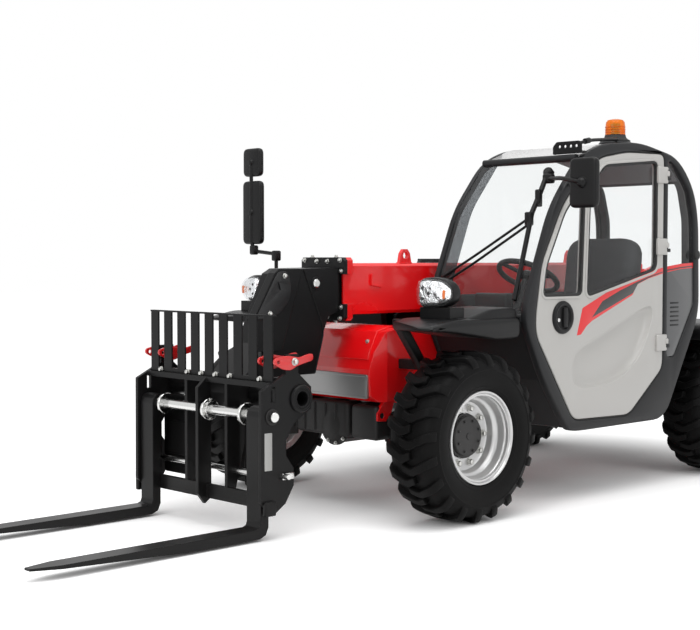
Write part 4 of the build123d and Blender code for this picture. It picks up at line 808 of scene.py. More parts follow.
# Boom head: the bent steel box at the inner tube's end, in satin black, with a cover on its left cheek.
# A turned pin shows on both sides at the back, and two bolts hold the cover.
COVER = [(650, 1216), (672, 1202), (806, 985), (740, 988), (655, 1008), (590, 1070), (575, 1145), (600, 1214)]
PIVOT_X = 817
PIVOT_Z = 635
HEAD_PIN_X = 395
HEAD_PIN_Z = 1153
COVER_HOLE = [(644, 1120), (656, 1126), (668, 1164), (656, 1158)]
BLACK_PAINT = finish(
    "satin_black_paint", (0.007, 0.007, 0.0075), 0.34, specular=0.15, grain_scale=300.0, grain_height=0.00022,
    drift=0.30, gloss_drift=0.20, wear=0.15, worn_color=(0.10, 0.10, 0.10), dust=0.03, edge_radius=0.006,
)
coat_nodes(BLACK_PAINT, "inner_boom")
THIN_BLACK = finish(
    "thin_plate_black", (0.013, 0.013, 0.014), 0.36, specular=0.32, grain_scale=300.0, grain_height=0.00015,
    drift=0.2, wear=0.10, worn_color=(0.10, 0.10, 0.10), edge_radius=0.0012,
)
cover = cut_panel("cheek_cover", [eased(COVER, 34), eased(COVER_HOLE, 10)], 5, 1.2, side_on(152))
fit_out(cover, "telescope", THIN_BLACK)
cover_spots = [facing(at(x, 155, z), (0, 1, 0)) for x, z in ((622, 1192), (716, 1010))]
fit_out(hex_bolts("cheek_cover_bolts", cover_spots, 0.016), "telescope", ZINC)
STEEL = finish(
    "bright_steel", (0.66, 0.66, 0.65), 0.20, metallic=1.0, grain_scale=500.0, grain_height=0.00008,
    drift=0.12, gloss_drift=0.25, wear=0.3, worn_color=(0.40, 0.39, 0.37), edge_radius=0.002,
)
HEAD_PIN = [(0, 10), (17, 10), (21, 7), (22, 0), (22, -4), (0, -4)]
head_pins = [
    lathed("head_pin", HEAD_PIN, (HEAD_PIN_X, side * 130, HEAD_PIN_Z), (0, side, 0), 32) for side in (1, -1)
]
fit_out(joined("head_pins", head_pins), "telescope", STEEL)
PIVOT_BOSS = [(46, 0), (46, 10), (70, 10), (78, 4), (78, 0)]
HEAD_RING = [(22, 0), (22, 5), (30, 5), (34, 0)]
head_rings = [
    lathed("head_ring", HEAD_RING, (HEAD_PIN_X, side * 130, HEAD_PIN_Z), (0, side, 0), 32) for side in (1, -1)
]
for side in (1, -1):
    head_rings.append(
        tube("head_weld", [(478, side * 131, 1222), (342, side * 131, 915), (404, side * 131, 706)], 4, 40)
    )
    head_rings.append(lathed("pivot_boss", PIVOT_BOSS, (PIVOT_X, side * 130, PIVOT_Z), (0, side, 0)))
fit_out(joined("head_fittings", head_rings), "telescope", BLACK_PAINT)

# Lift cylinder: a black barrel on the frame's pin and a chromed rod under the boom.
# A gland nut with a wiper ring closes the barrel's open end.
LIFT_AXIS = Vector((750.0, 0.0, 335.0)).normalized()
coat_nodes(BLACK_PAINT, "lift_barrel")
coat_nodes(STEEL, "lift_rod")
barrel_sleeve = [(33, 300), (50, 300), (58, 306), (58.6, 310), (58.6, 690), (64, 694), (64, 704), (33, 711)]
sleeve = lathed("lift_gland", barrel_sleeve, (-2250, 0, 600), LIFT_AXIS, 40)
fit_out(sleeve, "lift_barrel", BLACK_PAINT)

# Carriage: black plates cut from thick steel, welded to a pivot tube and two cross bars.
# Ring bosses stand round the tube's ends, two pressed panels close the back, a bare label plate is on the
# left plate, and locking pins are parked low on both plates.
coat_nodes(BLACK_PAINT, "carriage_pin", "carriage_frame", "fork_left", "fork_right", "load_guard")
RING_BOSS = [(46, 0), (46, 16), (58, 16), (64, 10), (66, 0)]
LABEL = four_corners(990, 1034, 322, 492)
carriage_work = []
for side in (1, -1):
    carriage_work.append(lathed("ring_boss", RING_BOSS, (PIVOT_X, side * 490, PIVOT_Z), (0, side, 0), 48))
    carriage_work.append(rounded_block("foot_block", (1010, side * 496, 150), (62, 26, 66), 6))
for near, far in ((190, 450), (-450, -160)):
    face = eased(four_corners(near, far, 205, 600), 20)
    carriage_work.append(cut_panel("rear_panel", [face], 10, 3, front_on(900)))
    face = eased(four_corners(near + 20, far - 20, 300, 470), 16)
    carriage_work.append(cut_panel("rear_panel_pressing", [face], 16, 5, front_on(904)))
fit_out(joined("carriage_fittings", carriage_work), "carriage", BLACK_PAINT)
LABEL_GREY = finish(
    "bare_label_grey", (0.40, 0.40, 0.39), 0.42, metallic=0.3, grain_scale=420.0, grain_height=0.0001,
    edge_radius=0.001
)
label = cut_panel("label_plate", [eased(LABEL, 4)], 2, 0.6, side_on(491))
fit_out(label, "carriage", LABEL_GREY)
LOCK_PIN = [(0, 62), (11, 62), (13, 58), (13, 0), (0, 0)]
bright = []
for side in (1, -1):
    bright.append(lathed("lock_pin", LOCK_PIN, (930, side * 478, 290), (0, side, 0), 24))
    bright.append(rounded_block("lock_tab", (905, side * 502, 288), (70, 12, 30), 4))
bright.append(lathed("lower_rod", [(0, -470), (14, -470), (14, 470), (0, 470)], (942, 0, 282), (0, 1, 0), 24))
fit_out(joined("carriage_pins", bright), "carriage", STEEL)

# Fork shaft: a round bright bar through the side plates, on which the forks slide.
# Bolted collars keep the forks apart, and a hex nut closes each end.
SHAFT_X = 990
SHAFT_Z = 563
COLLAR_BOLT_CIRCLE = 0.045
COLLAR_BOLT_LIFT = 0.016
SHAFT_COLLAR = [(23.5, 0), (50, 0), (52, 3), (52, 13), (50, 16), (40, 16), (38, 30), (23.5, 32)]
SHAFT_BAR = [(0, -516), (20, -516), (23, -513), (23, 513), (20, 516), (0, 516)]
shaft_pieces = [lathed("shaft_bar", SHAFT_BAR, (SHAFT_X, 0, SHAFT_Z), (0, 1, 0), 32)]
collar_spots = []
for y, way in ((320, -1), (26, 1), (-304, -1)):
    shaft_pieces.append(lathed("shaft_collar", SHAFT_COLLAR, (SHAFT_X, y, SHAFT_Z), (0, way, 0), 40))
    middle = at(SHAFT_X, y, SHAFT_Z)
    collar_spots += bolt_circle(middle, (0, way, 0), COLLAR_BOLT_CIRCLE, COLLAR_BOLT_LIFT, 6)
shaft = fit_out(joined("turned_fork_shaft", shaft_pieces), "carriage", STEEL)
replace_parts(shaft, "fork_shaft")
fit_out(hex_bolts("collar_bolts", collar_spots, 0.009), "carriage", ZINC)
nut_spots = [facing(at(SHAFT_X, side * 489, SHAFT_Z), (0, side, 0)) for side in (1, -1)]
fit_out(hex_bolts("shaft_nuts", nut_spots, 0.046, height=0.28), "carriage", CAST_BLACK)

# Load guard: nine flat bars under a thin rail, on a foot bar that is bolted to the carriage.
# Bolts show between the bars along the foot.
guard_spots = [facing(at(968, y, 726), (1, 0, 0)) for y in (-382, -164, -55, 55, 164, 382)]
fit_out(hex_bolts("guard_bolts", guard_spots, 0.018), "carriage", ZINC)

# Latch levers: two red plates on each side, with a rounded nose and a bent tail, joined by a rod.
# A bright bolt is the pivot of each outer plate.
LEVER = [
    (985, 800), (982, 824), (948, 832), (900, 836), (832, 824), (772, 838), (749, 838), (749, 808),
    (806, 796), (850, 786), (884, 768), (930, 774)
]


def round_hole(middle, radius, count=16):
    """A round outline in millimetres."""
    turns = [2 * math.pi * step / count for step in range(count)]
    return [(middle[0] + radius * math.cos(turn), middle[1] + radius * math.sin(turn)) for turn in turns]


lever_pieces = []
lever_spots = []
for side in (1, -1):
    for y in (496, 386):
        hole = round_hole((958, 808), 9)
        lever_pieces.append(cut_panel("lever_plate", [eased(LEVER, 14), hole], 12, 2, side_on(side * y)))
    lever_pieces.append(
        lathed("lever_rod", [(0, 0), (9, 0), (9, 110), (0, 110)], (865, side * 386, 807), (0, side, 0), 20)
    )
    lever_spots.append(facing(at(865, side * 502, 807), (0, side, 0)))
LEVER_RED = finish(
    "lever_red_paint", (0.72, 0.012, 0.014), 0.30, coat=0.4, grain_scale=200.0, grain_height=0.0002,
    wear=0.25, worn_color=(0.25, 0.03, 0.03), edge_radius=0.002,
)
levers = fit_out(joined("rounded_levers", lever_pieces), "carriage", LEVER_RED)
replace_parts(levers, "latch_levers")
fit_out(hex_bolts("lever_bolts", lever_spots, 0.022), "carriage", ZINC)

# Cab frame: a thick rounded steel ring on the left, a slimmer one on the right, floor, rear wall and roof.
# All are welded, in anthracite paint; the ring holds the door's black seal and the door's hinge lugs.
CAB_MIDDLE = 507.5
CAB_WIDTH = 615
CAB_RING = [
    (-338, 982), (-501, 656), (-690, 400), (-747, 375), (-1599, 375), (-1940, 953), (-1924, 1506),
    (-1867, 1687), (-1705, 1847), (-1328, 1910), (-1000, 1885), (-801, 1806), (-574, 1541),
]
DOOR_HOLE = [
    (-436, 886), (-746, 432), (-1246, 420), (-1570, 660), (-1570, 1862), (-1210, 1854), (-979, 1815),
    (-800, 1710), (-640, 1541), (-478, 1252), (-430, 979),
]
QUARTER_HOLE = [
    (-1610, 1832), (-1610, 720), (-1690, 720), (-1885, 1010), (-1872, 1500), (-1825, 1660), (-1690, 1795),
]
HINGE_HEIGHTS = (806, 1342, 1740)


def grown(outline, amount):
    """An outline moved outwards by an amount, or inwards by a negative one."""
    turn = sum(a[0] * b[1] - b[0] * a[1] for a, b in zip(outline, [*outline[1:], outline[0]]))
    way = amount if turn > 0 else -amount
    line = []
    for index, corner in enumerate(outline):
        before = Vector(corner) - Vector(outline[index - 1])
        after = Vector(outline[(index + 1) % len(outline)]) - Vector(corner)
        first = Vector((before.y, -before.x)).normalized()
        second = Vector((after.y, -after.x)).normalized()
        lean = (first + second) / (1.0 + first.dot(second))
        line.append(Vector(corner) + lean * way)
    return line


coat_nodes(ANTHRACITE, "cab_floor")
ring_line = eased(CAB_RING, 110)
door_line = eased(DOOR_HOLE, 60)
quarter_line = eased(QUARTER_HOLE, 40)
cab_work = [cut_panel("cab_ring", [ring_line, door_line, quarter_line], 45, 10, side_on(837.5))]
for hinge_z in HINGE_HEIGHTS:
    cab_work.append(rounded_block("hinge_lug", (-1592, 866, hinge_z - 20), (38, 22, 20), 4))
    cab_work.append(
        lathed("hinge_pin", [(0, 0), (7, 0), (7, 36), (0, 36)], (-1578, 872, hinge_z - 12), (0, 0, 1), 16)
    )
cab_ring = fit_out(joined("rounded_cab_ring", cab_work), "chassis", ANTHRACITE)
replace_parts(cab_ring, "cab_left")
RIGHT_HOLE = [
    (-428, 1080), (-610, 1510), (-824, 1762), (-1010, 1842), (-1330, 1866), (-1680, 1800), (-1830, 1660),
    (-1872, 1500), (-1885, 1080),
]
right_line = eased(RIGHT_HOLE, 60)
right_ring = cut_panel("slim_right_ring", [ring_line, right_line], 30, 10, side_on(185))
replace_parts(fit_out(right_ring, "chassis", ANTHRACITE), "cab_right")
ROOF_SKIN = [
    (-1130, 1891), (-1328, 1906), (-1705, 1843), (-1802, 1745), (-1782, 1728), (-1690, 1815), (-1325, 1875),
    (-1130, 1860),
]
roof_work = [
    cut_panel("roof_skin", [eased(ROOF_SKIN, 40)], CAB_WIDTH, 5, side_on(CAB_MIDDLE)),
    lathed("beacon_pad", [(0, 30), (84, 30), (90, 24), (90, 0), (0, 0)], (-1287, 725, 1885), (0, 0, 1), 48),
]
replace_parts(fit_out(joined("bent_roof", roof_work), "chassis", ANTHRACITE), "cab_roof")
LOW_WALL = [(-1590, 395), (-1590, 435), (-1900, 960), (-1897, 1040), (-1929, 1040), (-1932, 960)]
REAR_POST = [
    (-1929, 1036), (-1916, 1506), (-1859, 1683), (-1796, 1748), (-1780, 1732), (-1835, 1670), (-1885, 1500),
    (-1897, 1036),
]
REAR_STRIP = [(-1824, 1719), (-1798, 1747), (-1780, 1731), (-1806, 1703)]
rear_work = [
    cut_panel("low_wall", [eased(LOW_WALL, 14)], CAB_WIDTH, 5, side_on(CAB_MIDDLE)),
    cut_panel("rear_strip", [REAR_STRIP], CAB_WIDTH, 3, side_on(CAB_MIDDLE)),
]
rear_work += [cut_panel("rear_post", [eased(REAR_POST, 30)], 50, 6, side_on(y)) for y in (225, 790)]
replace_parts(fit_out(joined("rear_wall", rear_work), "chassis", ANTHRACITE), "cab_rear")
SEAL = finish(
    "door_seal_rubber", (0.010, 0.010, 0.010), 0.70, grain_scale=300.0, grain_height=0.0003, edge_radius=0.002
)
seal = cut_panel("door_seal", [door_line, grown(door_line, -5)], 34, 2, side_on(839))
fit_out(seal, "chassis", SEAL)
roof_bar = [
    tube("roof_bar", [(-806, 196, 1800), (-806, 822, 1800)], 20),
    tube("sill_bar", [(-372, 196, 978), (-372, 822, 978)], 20),
]
fit_out(joined("windscreen_frame", roof_bar), "chassis", ANTHRACITE)
LINING = [
    (-1140, 1858), (-1325, 1868), (-1690, 1806), (-1775, 1722), (-1768, 1716), (-1686, 1796), (-1324, 1858),
    (-1140, 1848),
]
FELT = finish(
    "grey_roof_felt", (0.15, 0.15, 0.155), 0.90, grain_scale=700.0, grain_height=0.0006, edge_radius=0.001
)
fit_out(cut_panel("roof_lining", [LINING], 600, 2, side_on(CAB_MIDDLE)), "chassis", FELT)
QUARTER_PANEL = [(-1612, 1228), (-1612, 724), (-1688, 724), (-1882, 1012), (-1877, 1246)]
SMOKED = finish(
    "smoked_grey_panel", (0.085, 0.087, 0.090), 0.30, coat=0.3, grain_scale=500.0, grain_height=0.0001,
    dust=0.05, worn_color=(0.12, 0.12, 0.12),
)
quarter_panel = cut_panel("quarter_panel", [eased(QUARTER_PANEL, 12)], 6, 2, side_on(849))
fit_out(quarter_panel, "chassis", SMOKED)
vents = [rounded_block("vent_slat", (-1690, 852, z), (84, 5, 9), 2) for z in (900, 925, 950, 975, 1000, 1025)]
fit_out(joined("quarter_vent", vents), "chassis", ANTHRACITE)
stop = lathed(
    "hold_open_rubber", [(0, 16), (16, 16), (26, 10), (28, 0), (0, 0)], (-1900, 860, 1296), (0, 1, 0), 28
)
fit_out(stop, "chassis", SEAL)

# Window glass: flat and bent safety panes, almost clear with a faint grey tint, set in black seals.
# The panes let the light through and mirror the studio at grazing angles; the windscreen has a dark
# printed edge on the right, and the roof's front slope is a hazy pane.
PANE_IOR = 1.28
GLASS_TINT = (0.982, 0.988, 0.988, 1.0)
WINDSCREEN = [(-362, 990), (-585, 1538), (-806, 1795), (-812, 1790), (-593, 1534), (-370, 986)]
ROOF_PANE = [(-801, 1803), (-1000, 1881), (-1134, 1891), (-1134, 1883), (-1002, 1873), (-805, 1796)]
REAR_PANE = [
    (-1918, 1040), (-1905, 1500), (-1854, 1668), (-1812, 1716), (-1806, 1710), (-1846, 1664), (-1897, 1500),
    (-1910, 1040),
]


def clear_finish(name, tint, roughness, share):
    """A see-through finish with a gloss that follows Fresnel on its outer faces, and a share of haze."""
    material = bpy.data.materials.new(name)
    material.use_nodes = True
    tree = material.node_tree
    tree.nodes.clear()
    pane = add_node(tree, "ShaderNodeBsdfTransparent", values=[("Color", tint)])
    haze = add_node(tree, "ShaderNodeBsdfDiffuse", values=[("Color", tint)])
    body = add_node(tree, "ShaderNodeMixShader", values=[("Fac", share)])
    sheen = add_node(tree, "ShaderNodeBsdfGlossy", values=[("Roughness", roughness)])
    fresnel = add_node(tree, "ShaderNodeFresnel", values=[("IOR", PANE_IOR)])
    sides = add_node(tree, "ShaderNodeNewGeometry")
    front = add_node(tree, "ShaderNodeMath", "SUBTRACT", [(0, 1.0)])
    gloss = add_node(tree, "ShaderNodeMath", "MULTIPLY")
    mixed = add_node(tree, "ShaderNodeMixShader")
    surface = add_node(tree, "ShaderNodeOutputMaterial")
    wire(
        tree,
        (pane, 0, body, 1),
        (haze, 0, body, 2),
        (sides, "Backfacing", front, 1),
        (fresnel, 0, gloss, 0),
        (front, 0, gloss, 1),
        (gloss, 0, mixed, "Fac"),
        (body, 0, mixed, 1),
        (sheen, 0, mixed, 2),
        (mixed, 0, surface, "Surface"),
    )
    return material


TINTED_GLASS = clear_finish("tinted_glass", GLASS_TINT, 0.02, 0.01)
panes = [
    cut_panel("windscreen", [eased(WINDSCREEN, 80, 8)], CAB_WIDTH, 1, side_on(CAB_MIDDLE)),
    cut_panel("rear_pane", [eased(REAR_PANE, 30)], 515, 1, side_on(CAB_MIDDLE)),
    cut_panel("right_pane", [grown(right_line, 4)], 6, 1, side_on(185)),
    cut_panel("quarter_pane", [grown(quarter_line, 4)], 6, 1, side_on(842)),
]
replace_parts(fit_out(joined("window_panes", panes), "chassis", TINTED_GLASS), "cab_glass")
ROOF_WINDOW = clear_finish("hazy_roof_window", (0.95, 0.95, 0.95, 1.0), 0.06, 0.55)
roof_window = cut_panel("roof_window", [ROOF_PANE], 611, 1, side_on(CAB_MIDDLE))
fit_out(roof_window, "chassis", ROOF_WINDOW)
SHADED_GLASS = clear_finish("printed_glass_edge", (0.42, 0.43, 0.44, 1.0), 0.03, 0.04)
shade = cut_panel(
    "windscreen_edge", [eased([(x + 4, z + 2) for x, z in WINDSCREEN], 80, 8)], 96, 1, side_on(249)
)
fit_out(shade, "chassis", SHADED_GLASS)

# Wiper: a black pantograph arm that hangs from the windscreen's top left corner.
# Its long blade lies along the left post and its thin rods reach over the glass; a roof bracket with
# holes and a cable tube lead to the beacon.
WIPER_DRIVE = [(0, 34), (20, 34), (26, 26), (28, 0), (0, 0)]
wiper_pieces = [
    lathed("wiper_drive", WIPER_DRIVE, (-738, 702, 1716), (0.75, 0, 0.66), 28),
    tube("wiper_arm", [(-722, 706, 1732), (-640, 716, 1612), (-560, 718, 1492)], 14),
    tube("wiper_blade", [(-566, 724, 1510), (-382, 760, 1066)], 13),
    tube("wiper_rubber", [(-574, 722, 1500), (-392, 758, 1060)], 5),
    tube("wiper_rod", [(-556, 716, 1486), (-470, 420, 1290), (-428, 236, 1180)], 7, 60),
    tube("wiper_rod", [(-542, 716, 1448), (-452, 420, 1246), (-414, 236, 1140)], 7, 60),
    rounded_block("wiper_joint", (-552, 716, 1480), (34, 40, 70), 8),
    rounded_block("wiper_holder", (-622, 722, 1588), (34, 30, 90), 8),
]
fit_out(joined("windscreen_wiper", wiper_pieces), "chassis", PLASTIC)
BRACKET_FACE = [(676, 1822), (862, 1822), (862, 1872), (846, 1888), (700, 1888), (676, 1864)]
bracket_holes = [round_hole((y, 1862), 8, 12) for y in (720, 756, 792, 828)]
CABLE_RUN = [(-806, 846, 1876), (-900, 846, 1896), (-1200, 800, 1922), (-1262, 742, 1934)]
CABLE_GLAND = [(0, 44), (12, 44), (15, 38), (15, 0), (0, 0)]
roof_bracket = [
    cut_panel("bracket_face", [eased(BRACKET_FACE, 8), *bracket_holes], 8, 2, front_on(-800)),
    rounded_block("bracket_foot", (-826, 770, 1832), (52, 172, 10), 3),
    tube("beacon_cable", CABLE_RUN, 9, 60),
    lathed("cable_gland", CABLE_GLAND, (-846, 846, 1886), (-0.98, 0, 0.2), 20),
]
fit_out(joined("roof_bracket", roof_bracket), "chassis", BLACK_PAINT)

# Seat: a foam cushion and back in dark woven cloth on a black suspension box.
# Each cover is one closed cloth that the foam swells between its edges, with arm rests beside it.
SEAT_CLOTH = finish(
    "dark_seat_cloth", (0.045, 0.046, 0.050), 0.88, grain_scale=900.0, grain_height=0.0012, drift=0.5,
    wear=0.0, worn_color=(0.06, 0.06, 0.06),
)
CUSHION_SWELL = 0.012
CLOTH_GRID = 0.012
CLOTH_PRESSURE = 4.0
CLOTH_FRAMES = 20
ARM_PLACES = (322, 693)


def stuffed(piece, cap):
    """Swell a closed cover over its stuffing: a cloth under pressure, with no point moved past the cap."""
    pick(piece)
    piece.data.remesh_voxel_size = CLOTH_GRID
    bpy.ops.object.voxel_remesh()
    rest = [vertex.co.copy() for vertex in piece.data.vertices]
    cover = piece.modifiers.new("stuffing", "CLOTH")
    cover.settings.use_pressure = True
    cover.settings.uniform_pressure_force = CLOTH_PRESSURE
    cover.settings.effector_weights.gravity = 0.0
    for number in range(1, CLOTH_FRAMES + 1):
        bpy.context.scene.frame_set(number)
    bpy.ops.object.modifier_apply(modifier=cover.name)
    bpy.context.scene.frame_set(1)
    for vertex, start in zip(piece.data.vertices, rest):
        move = vertex.co - start
        if move.length > cap:
            vertex.co = start + move.normalized() * cap
    smooth = piece.modifiers.new("cloth", "SUBSURF")
    smooth.levels = 1
    smooth.render_levels = 1
    bpy.ops.object.modifier_apply(modifier=smooth.name)
    bpy.ops.object.shade_smooth()
    return piece


CUSHION = [(-930, 770), (-925, 840), (-965, 868), (-1310, 850), (-1330, 770)]
BACKREST = four_corners(262, 753, 850, 1405)
cushion = stuffed(
    cut_panel("cushion_cover", [eased(CUSHION, 26)], 396, 16, side_on(CAB_MIDDLE)), CUSHION_SWELL
)
backrest = cut_panel("backrest_cover", [eased(BACKREST, 120)], 130, 40, front_on(-1440))
tilt_spot = Matrix.Translation(at(-1430, CAB_MIDDLE, 900))
backrest.data.transform(tilt_spot @ Matrix.Rotation(math.radians(-8.0), 4, "Y") @ tilt_spot.inverted())
backrest = stuffed(backrest, CUSHION_SWELL)
for soft, name in ((cushion, "seat_cushion"), (backrest, "seat_backrest")):
    soft.name = name
    fit_out(soft, "chassis", SEAT_CLOTH)
BELLOWS = ((618, 0), (644, 26), (670, 0), (696, 26))
JOYSTICK_KNOB = [(0, 62), (16, 58), (26, 40), (24, 12), (12, 0), (0, 0)]
seat_base = [rounded_block("seat_box", (-1210, CAB_MIDDLE, 520), (380, 360, 170), 20)]
seat_base += [
    rounded_block("seat_bellows", (-1210, CAB_MIDDLE, z), (360 - step, 340 - step, 26), 12) for z,
    step in BELLOWS
]
seat_base += [rounded_block("seat_pan", (-1150, CAB_MIDDLE, 738), (420, 400, 52), 16)]
seat_base += [rounded_block("arm_rest", (-1230, y, 985), (270, 60, 44), 18) for y in ARM_PLACES]
seat_base += [tube("arm_post", [(-1450, y, 985), (-1340, y, 985)], 14) for y in ARM_PLACES]
seat_base += [tube("joystick", [(-1110, 322, 1000), (-1090, 322, 1090)], 9)]
seat_base += [lathed("joystick_knob", JOYSTICK_KNOB, (-1092, 322, 1080), (0.2, 0, 0.98), 24)]
seat_frame = fit_out(joined("seat_base", seat_base), "chassis", PLASTIC)
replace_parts(seat_frame, "seat")

# Console: a moulded black post with the steering column, a wheel with a thick round rim, and a display.
# The post is bolted to the sloping floor in front of the seat.
COLUMN = [(-722, 437), (-546, 674), (-396, 972), (-450, 1000), (-640, 1000), (-700, 720), (-800, 437)]
WHEEL_AXIS = Vector((-0.5, 0.0, 0.866))
WHEEL_CENTRE = (-806, CAB_MIDDLE, 1181)
rim_round = round_hole((164, 0), 15, 12)
hub_spot = Vector(WHEEL_CENTRE)
STEERING_HUB = [(0, 22), (30, 22), (44, 12), (44, -14), (26, -30), (26, -330), (0, -330)]
console_work = [
    cut_panel("console_post", [eased(COLUMN, 30)], 260, 18, side_on(CAB_MIDDLE)),
    lathed("steering_rim", rim_round, WHEEL_CENTRE, WHEEL_AXIS, 56),
    lathed("steering_hub", STEERING_HUB, WHEEL_CENTRE, WHEEL_AXIS, 32),
]
for turn in (90, 210, 330):
    spoke = Matrix.Rotation(math.radians(turn), 3, WHEEL_AXIS) @ Vector((0.866, 0.0, 0.5))
    console_work.append(tube("wheel_spoke", [hub_spot, hub_spot + spoke * 158], 11))
console_work.append(rounded_block("display", (-520, CAB_MIDDLE, 1040), (60, 230, 110), 16))
console_post = fit_out(joined("steering_console", console_work), "chassis", PLASTIC)
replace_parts(console_post, "console")

# Door: a double steel skin in light warm grey, with two windows, proud window frames and a leaf-shaped
# pressing. Three blocks carry it on the ring's pins, a round handle sits in front, and a red and black
# stripe runs up over the panel behind it.
WINDOW_FRONT = [(-484, 1085), (-512, 1240), (-660, 1512), (-782, 1640), (-838, 1640), (-812, 1085)]
WINDOW_MAIN = [(-852, 1075), (-878, 1640), (-1000, 1770), (-1500, 1815), (-1500, 1215)]
LEAF = [
    (-728, 660), (-752, 792), (-1080, 905), (-1380, 1006), (-1462, 1016), (-1452, 910), (-1345, 740),
    (-1190, 642), (-1000, 602), (-790, 600),
]
STRIPE_RED = [
    (-770, 876), (-818, 1018), (-1020, 1092), (-1223, 1152), (-1400, 1197), (-1560, 1226), (-1560, 1192),
    (-1420, 1166), (-1310, 1134), (-1268, 1078), (-900, 948), (-856, 924), (-806, 880),
]
STRIPE_BLACK = [
    (-900, 966), (-992, 1050), (-1150, 1104), (-1300, 1146), (-1420, 1176), (-1556, 1204), (-1556, 1198),
    (-1420, 1169), (-1318, 1138), (-1272, 1088),
]
TAIL_RED = [(-1613, 1232), (-1750, 1246), (-1878, 1252), (-1876, 1222), (-1750, 1216), (-1613, 1199)]
TAIL_BLACK = [(-1613, 1213), (-1750, 1228), (-1874, 1236), (-1874, 1229), (-1750, 1221), (-1613, 1206)]
WARM_GREY = finish(
    "warm_grey_panel", (0.52, 0.51, 0.49), 0.36, coat=0.25, grain_scale=90.0, grain_height=0.0002, drift=0.05,
    gloss_drift=0.10, wear=0.10, worn_color=(0.32, 0.31, 0.30), dust=0.04, edge_radius=0.005,
)
door_edge = grown(eased(DOOR_HOLE, 54), -7)
front_window = eased(WINDOW_FRONT, 36)
main_window = eased(WINDOW_MAIN, 48)
leaf_line = eased(LEAF, 70)
door_skins = [
    cut_panel("door_inner", [door_edge, front_window, main_window, leaf_line], 28, 4, side_on(836)),
    cut_panel("door_outer", [door_edge, front_window, main_window, leaf_line], 14, 6.5, side_on(853)),
]
for window in (front_window, main_window):
    door_skins.append(cut_panel("window_frame", [grown(window, 17), grown(window, 3)], 12, 4, side_on(859)))
for hinge_z in HINGE_HEIGHTS:
    door_skins.append(rounded_block("hinge_leaf", (-1538, 866, hinge_z), (96, 20, 92), 7))
    door_skins.append(rounded_block("hinge_sleeve", (-1580, 872, hinge_z + 8), (26, 22, 32), 9))
door = fit_out(joined("door_skins", door_skins), "door", WARM_GREY)
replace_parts(door, "door_panel")
window_seals = [
    cut_panel("window_seal", [grown(window, 3), grown(window, -11)], 22, 3, side_on(850))
    for window in (front_window, main_window)
]
fit_out(joined("window_seals", window_seals), "door", SEAL)
door_panes = [
    cut_panel("door_pane", [grown(window, 2)], 5, 1, side_on(848)) for window in (front_window, main_window)
]
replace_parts(fit_out(joined("door_panes", door_panes), "door", TINTED_GLASS), "door_glass")
LEAF_CENTRE = Vector((-1080.0, 780.0))
LEAF_RINGS = (
    (1.0, 820), (1.0, 857), (0.985, 850), (0.955, 838), (0.91, 830), (0.84, 826), (0.72, 825), (0.5, 827),
    (0.25, 829),
)
leaf_rim = grown(leaf_line, 3)
count = len(leaf_rim)
last = count * (len(LEAF_RINGS) - 1)
corners, faces = [], [tuple(range(count)), tuple(range(last, last + count))]
for number, (share, depth) in enumerate(LEAF_RINGS):
    for step, spot in enumerate(leaf_rim):
        corner = LEAF_CENTRE + (spot - LEAF_CENTRE) * share
        corners.append(at(corner.x, depth, corner.y))
        if number:
            after = (step + 1) % count
            low, high = count * (number - 1), count * number
            faces.append((low + step, low + after, high + after, high + step))
leaf_mesh = bpy.data.meshes.new("leaf_pressing")
leaf_mesh.from_pydata(corners, [], faces)
leaf_dish = bpy.data.objects.new("leaf_pressing", leaf_mesh)
bpy.context.scene.collection.objects.link(leaf_dish)
pick(leaf_dish)
close_up(leaf_dish)
bpy.ops.object.shade_smooth_by_angle(angle=math.radians(40.0))
fit_out(leaf_dish, "door", WARM_GREY)
STRIPE_FILM = finish(
    "red_stripe_film", (0.80, 0.016, 0.020), 0.32, coat=0.3, grain_scale=600.0, grain_height=0.00005,
    edge_radius=0.0005
)
DARK_FILM = finish(
    "dark_stripe_film", (0.016, 0.016, 0.017), 0.34, coat=0.3, grain_scale=600.0, grain_height=0.00005,
    edge_radius=0.0005
)
for name, outline, reach, y, body, film, slot in (
    ("door_stripe", STRIPE_RED, 6, 860.2, "door", STRIPE_FILM, "red_paint"),
    ("door_stripe_inlay", STRIPE_BLACK, 4, 860.6, "door", DARK_FILM, "black_plastic"),
    ("panel_stripe", TAIL_RED, 5, 852.3, "chassis", STRIPE_FILM, "red_paint"),
    ("panel_stripe_inlay", TAIL_BLACK, 3, 852.7, "chassis", DARK_FILM, "black_plastic"),
):
    fit_out(cut_panel(name, [eased(outline, reach)], 1.0, 0.2, side_on(y)), body, film)
HANDLE_RING = [(85, -4), (85, 6), (80, 13), (70, 15.5), (62, 12), (58, 4), (0, 2), (0, -4)]
handle_work = [
    lathed("handle_ring", HANDLE_RING, (-648, 860, 974), (0, 1, 0), 56),
    rounded_block("handle_grip", (-662, 868, 974), (34, 14, 104), 6),
]
handle = fit_out(joined("round_door_handle", handle_work), "door", PLASTIC)
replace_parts(handle, "door_handle")
lock = lathed("door_lock", [(0, 6), (8, 6), (10, 4), (10, 0), (0, 0)], (-610, 864, 962), (0, 1, 0), 24)
fit_out(lock, "door", STEEL)
inner_handle = [
    rounded_block("door_card", (-1010, 812, 700), (420, 14, 300), 6),
    tube("pull_bar", [(-760, 812, 1010), (-780, 786, 1010), (-960, 786, 1030), (-980, 812, 1030)], 10, 20),
]
fit_out(joined("door_inside", inner_handle), "door", PLASTIC)

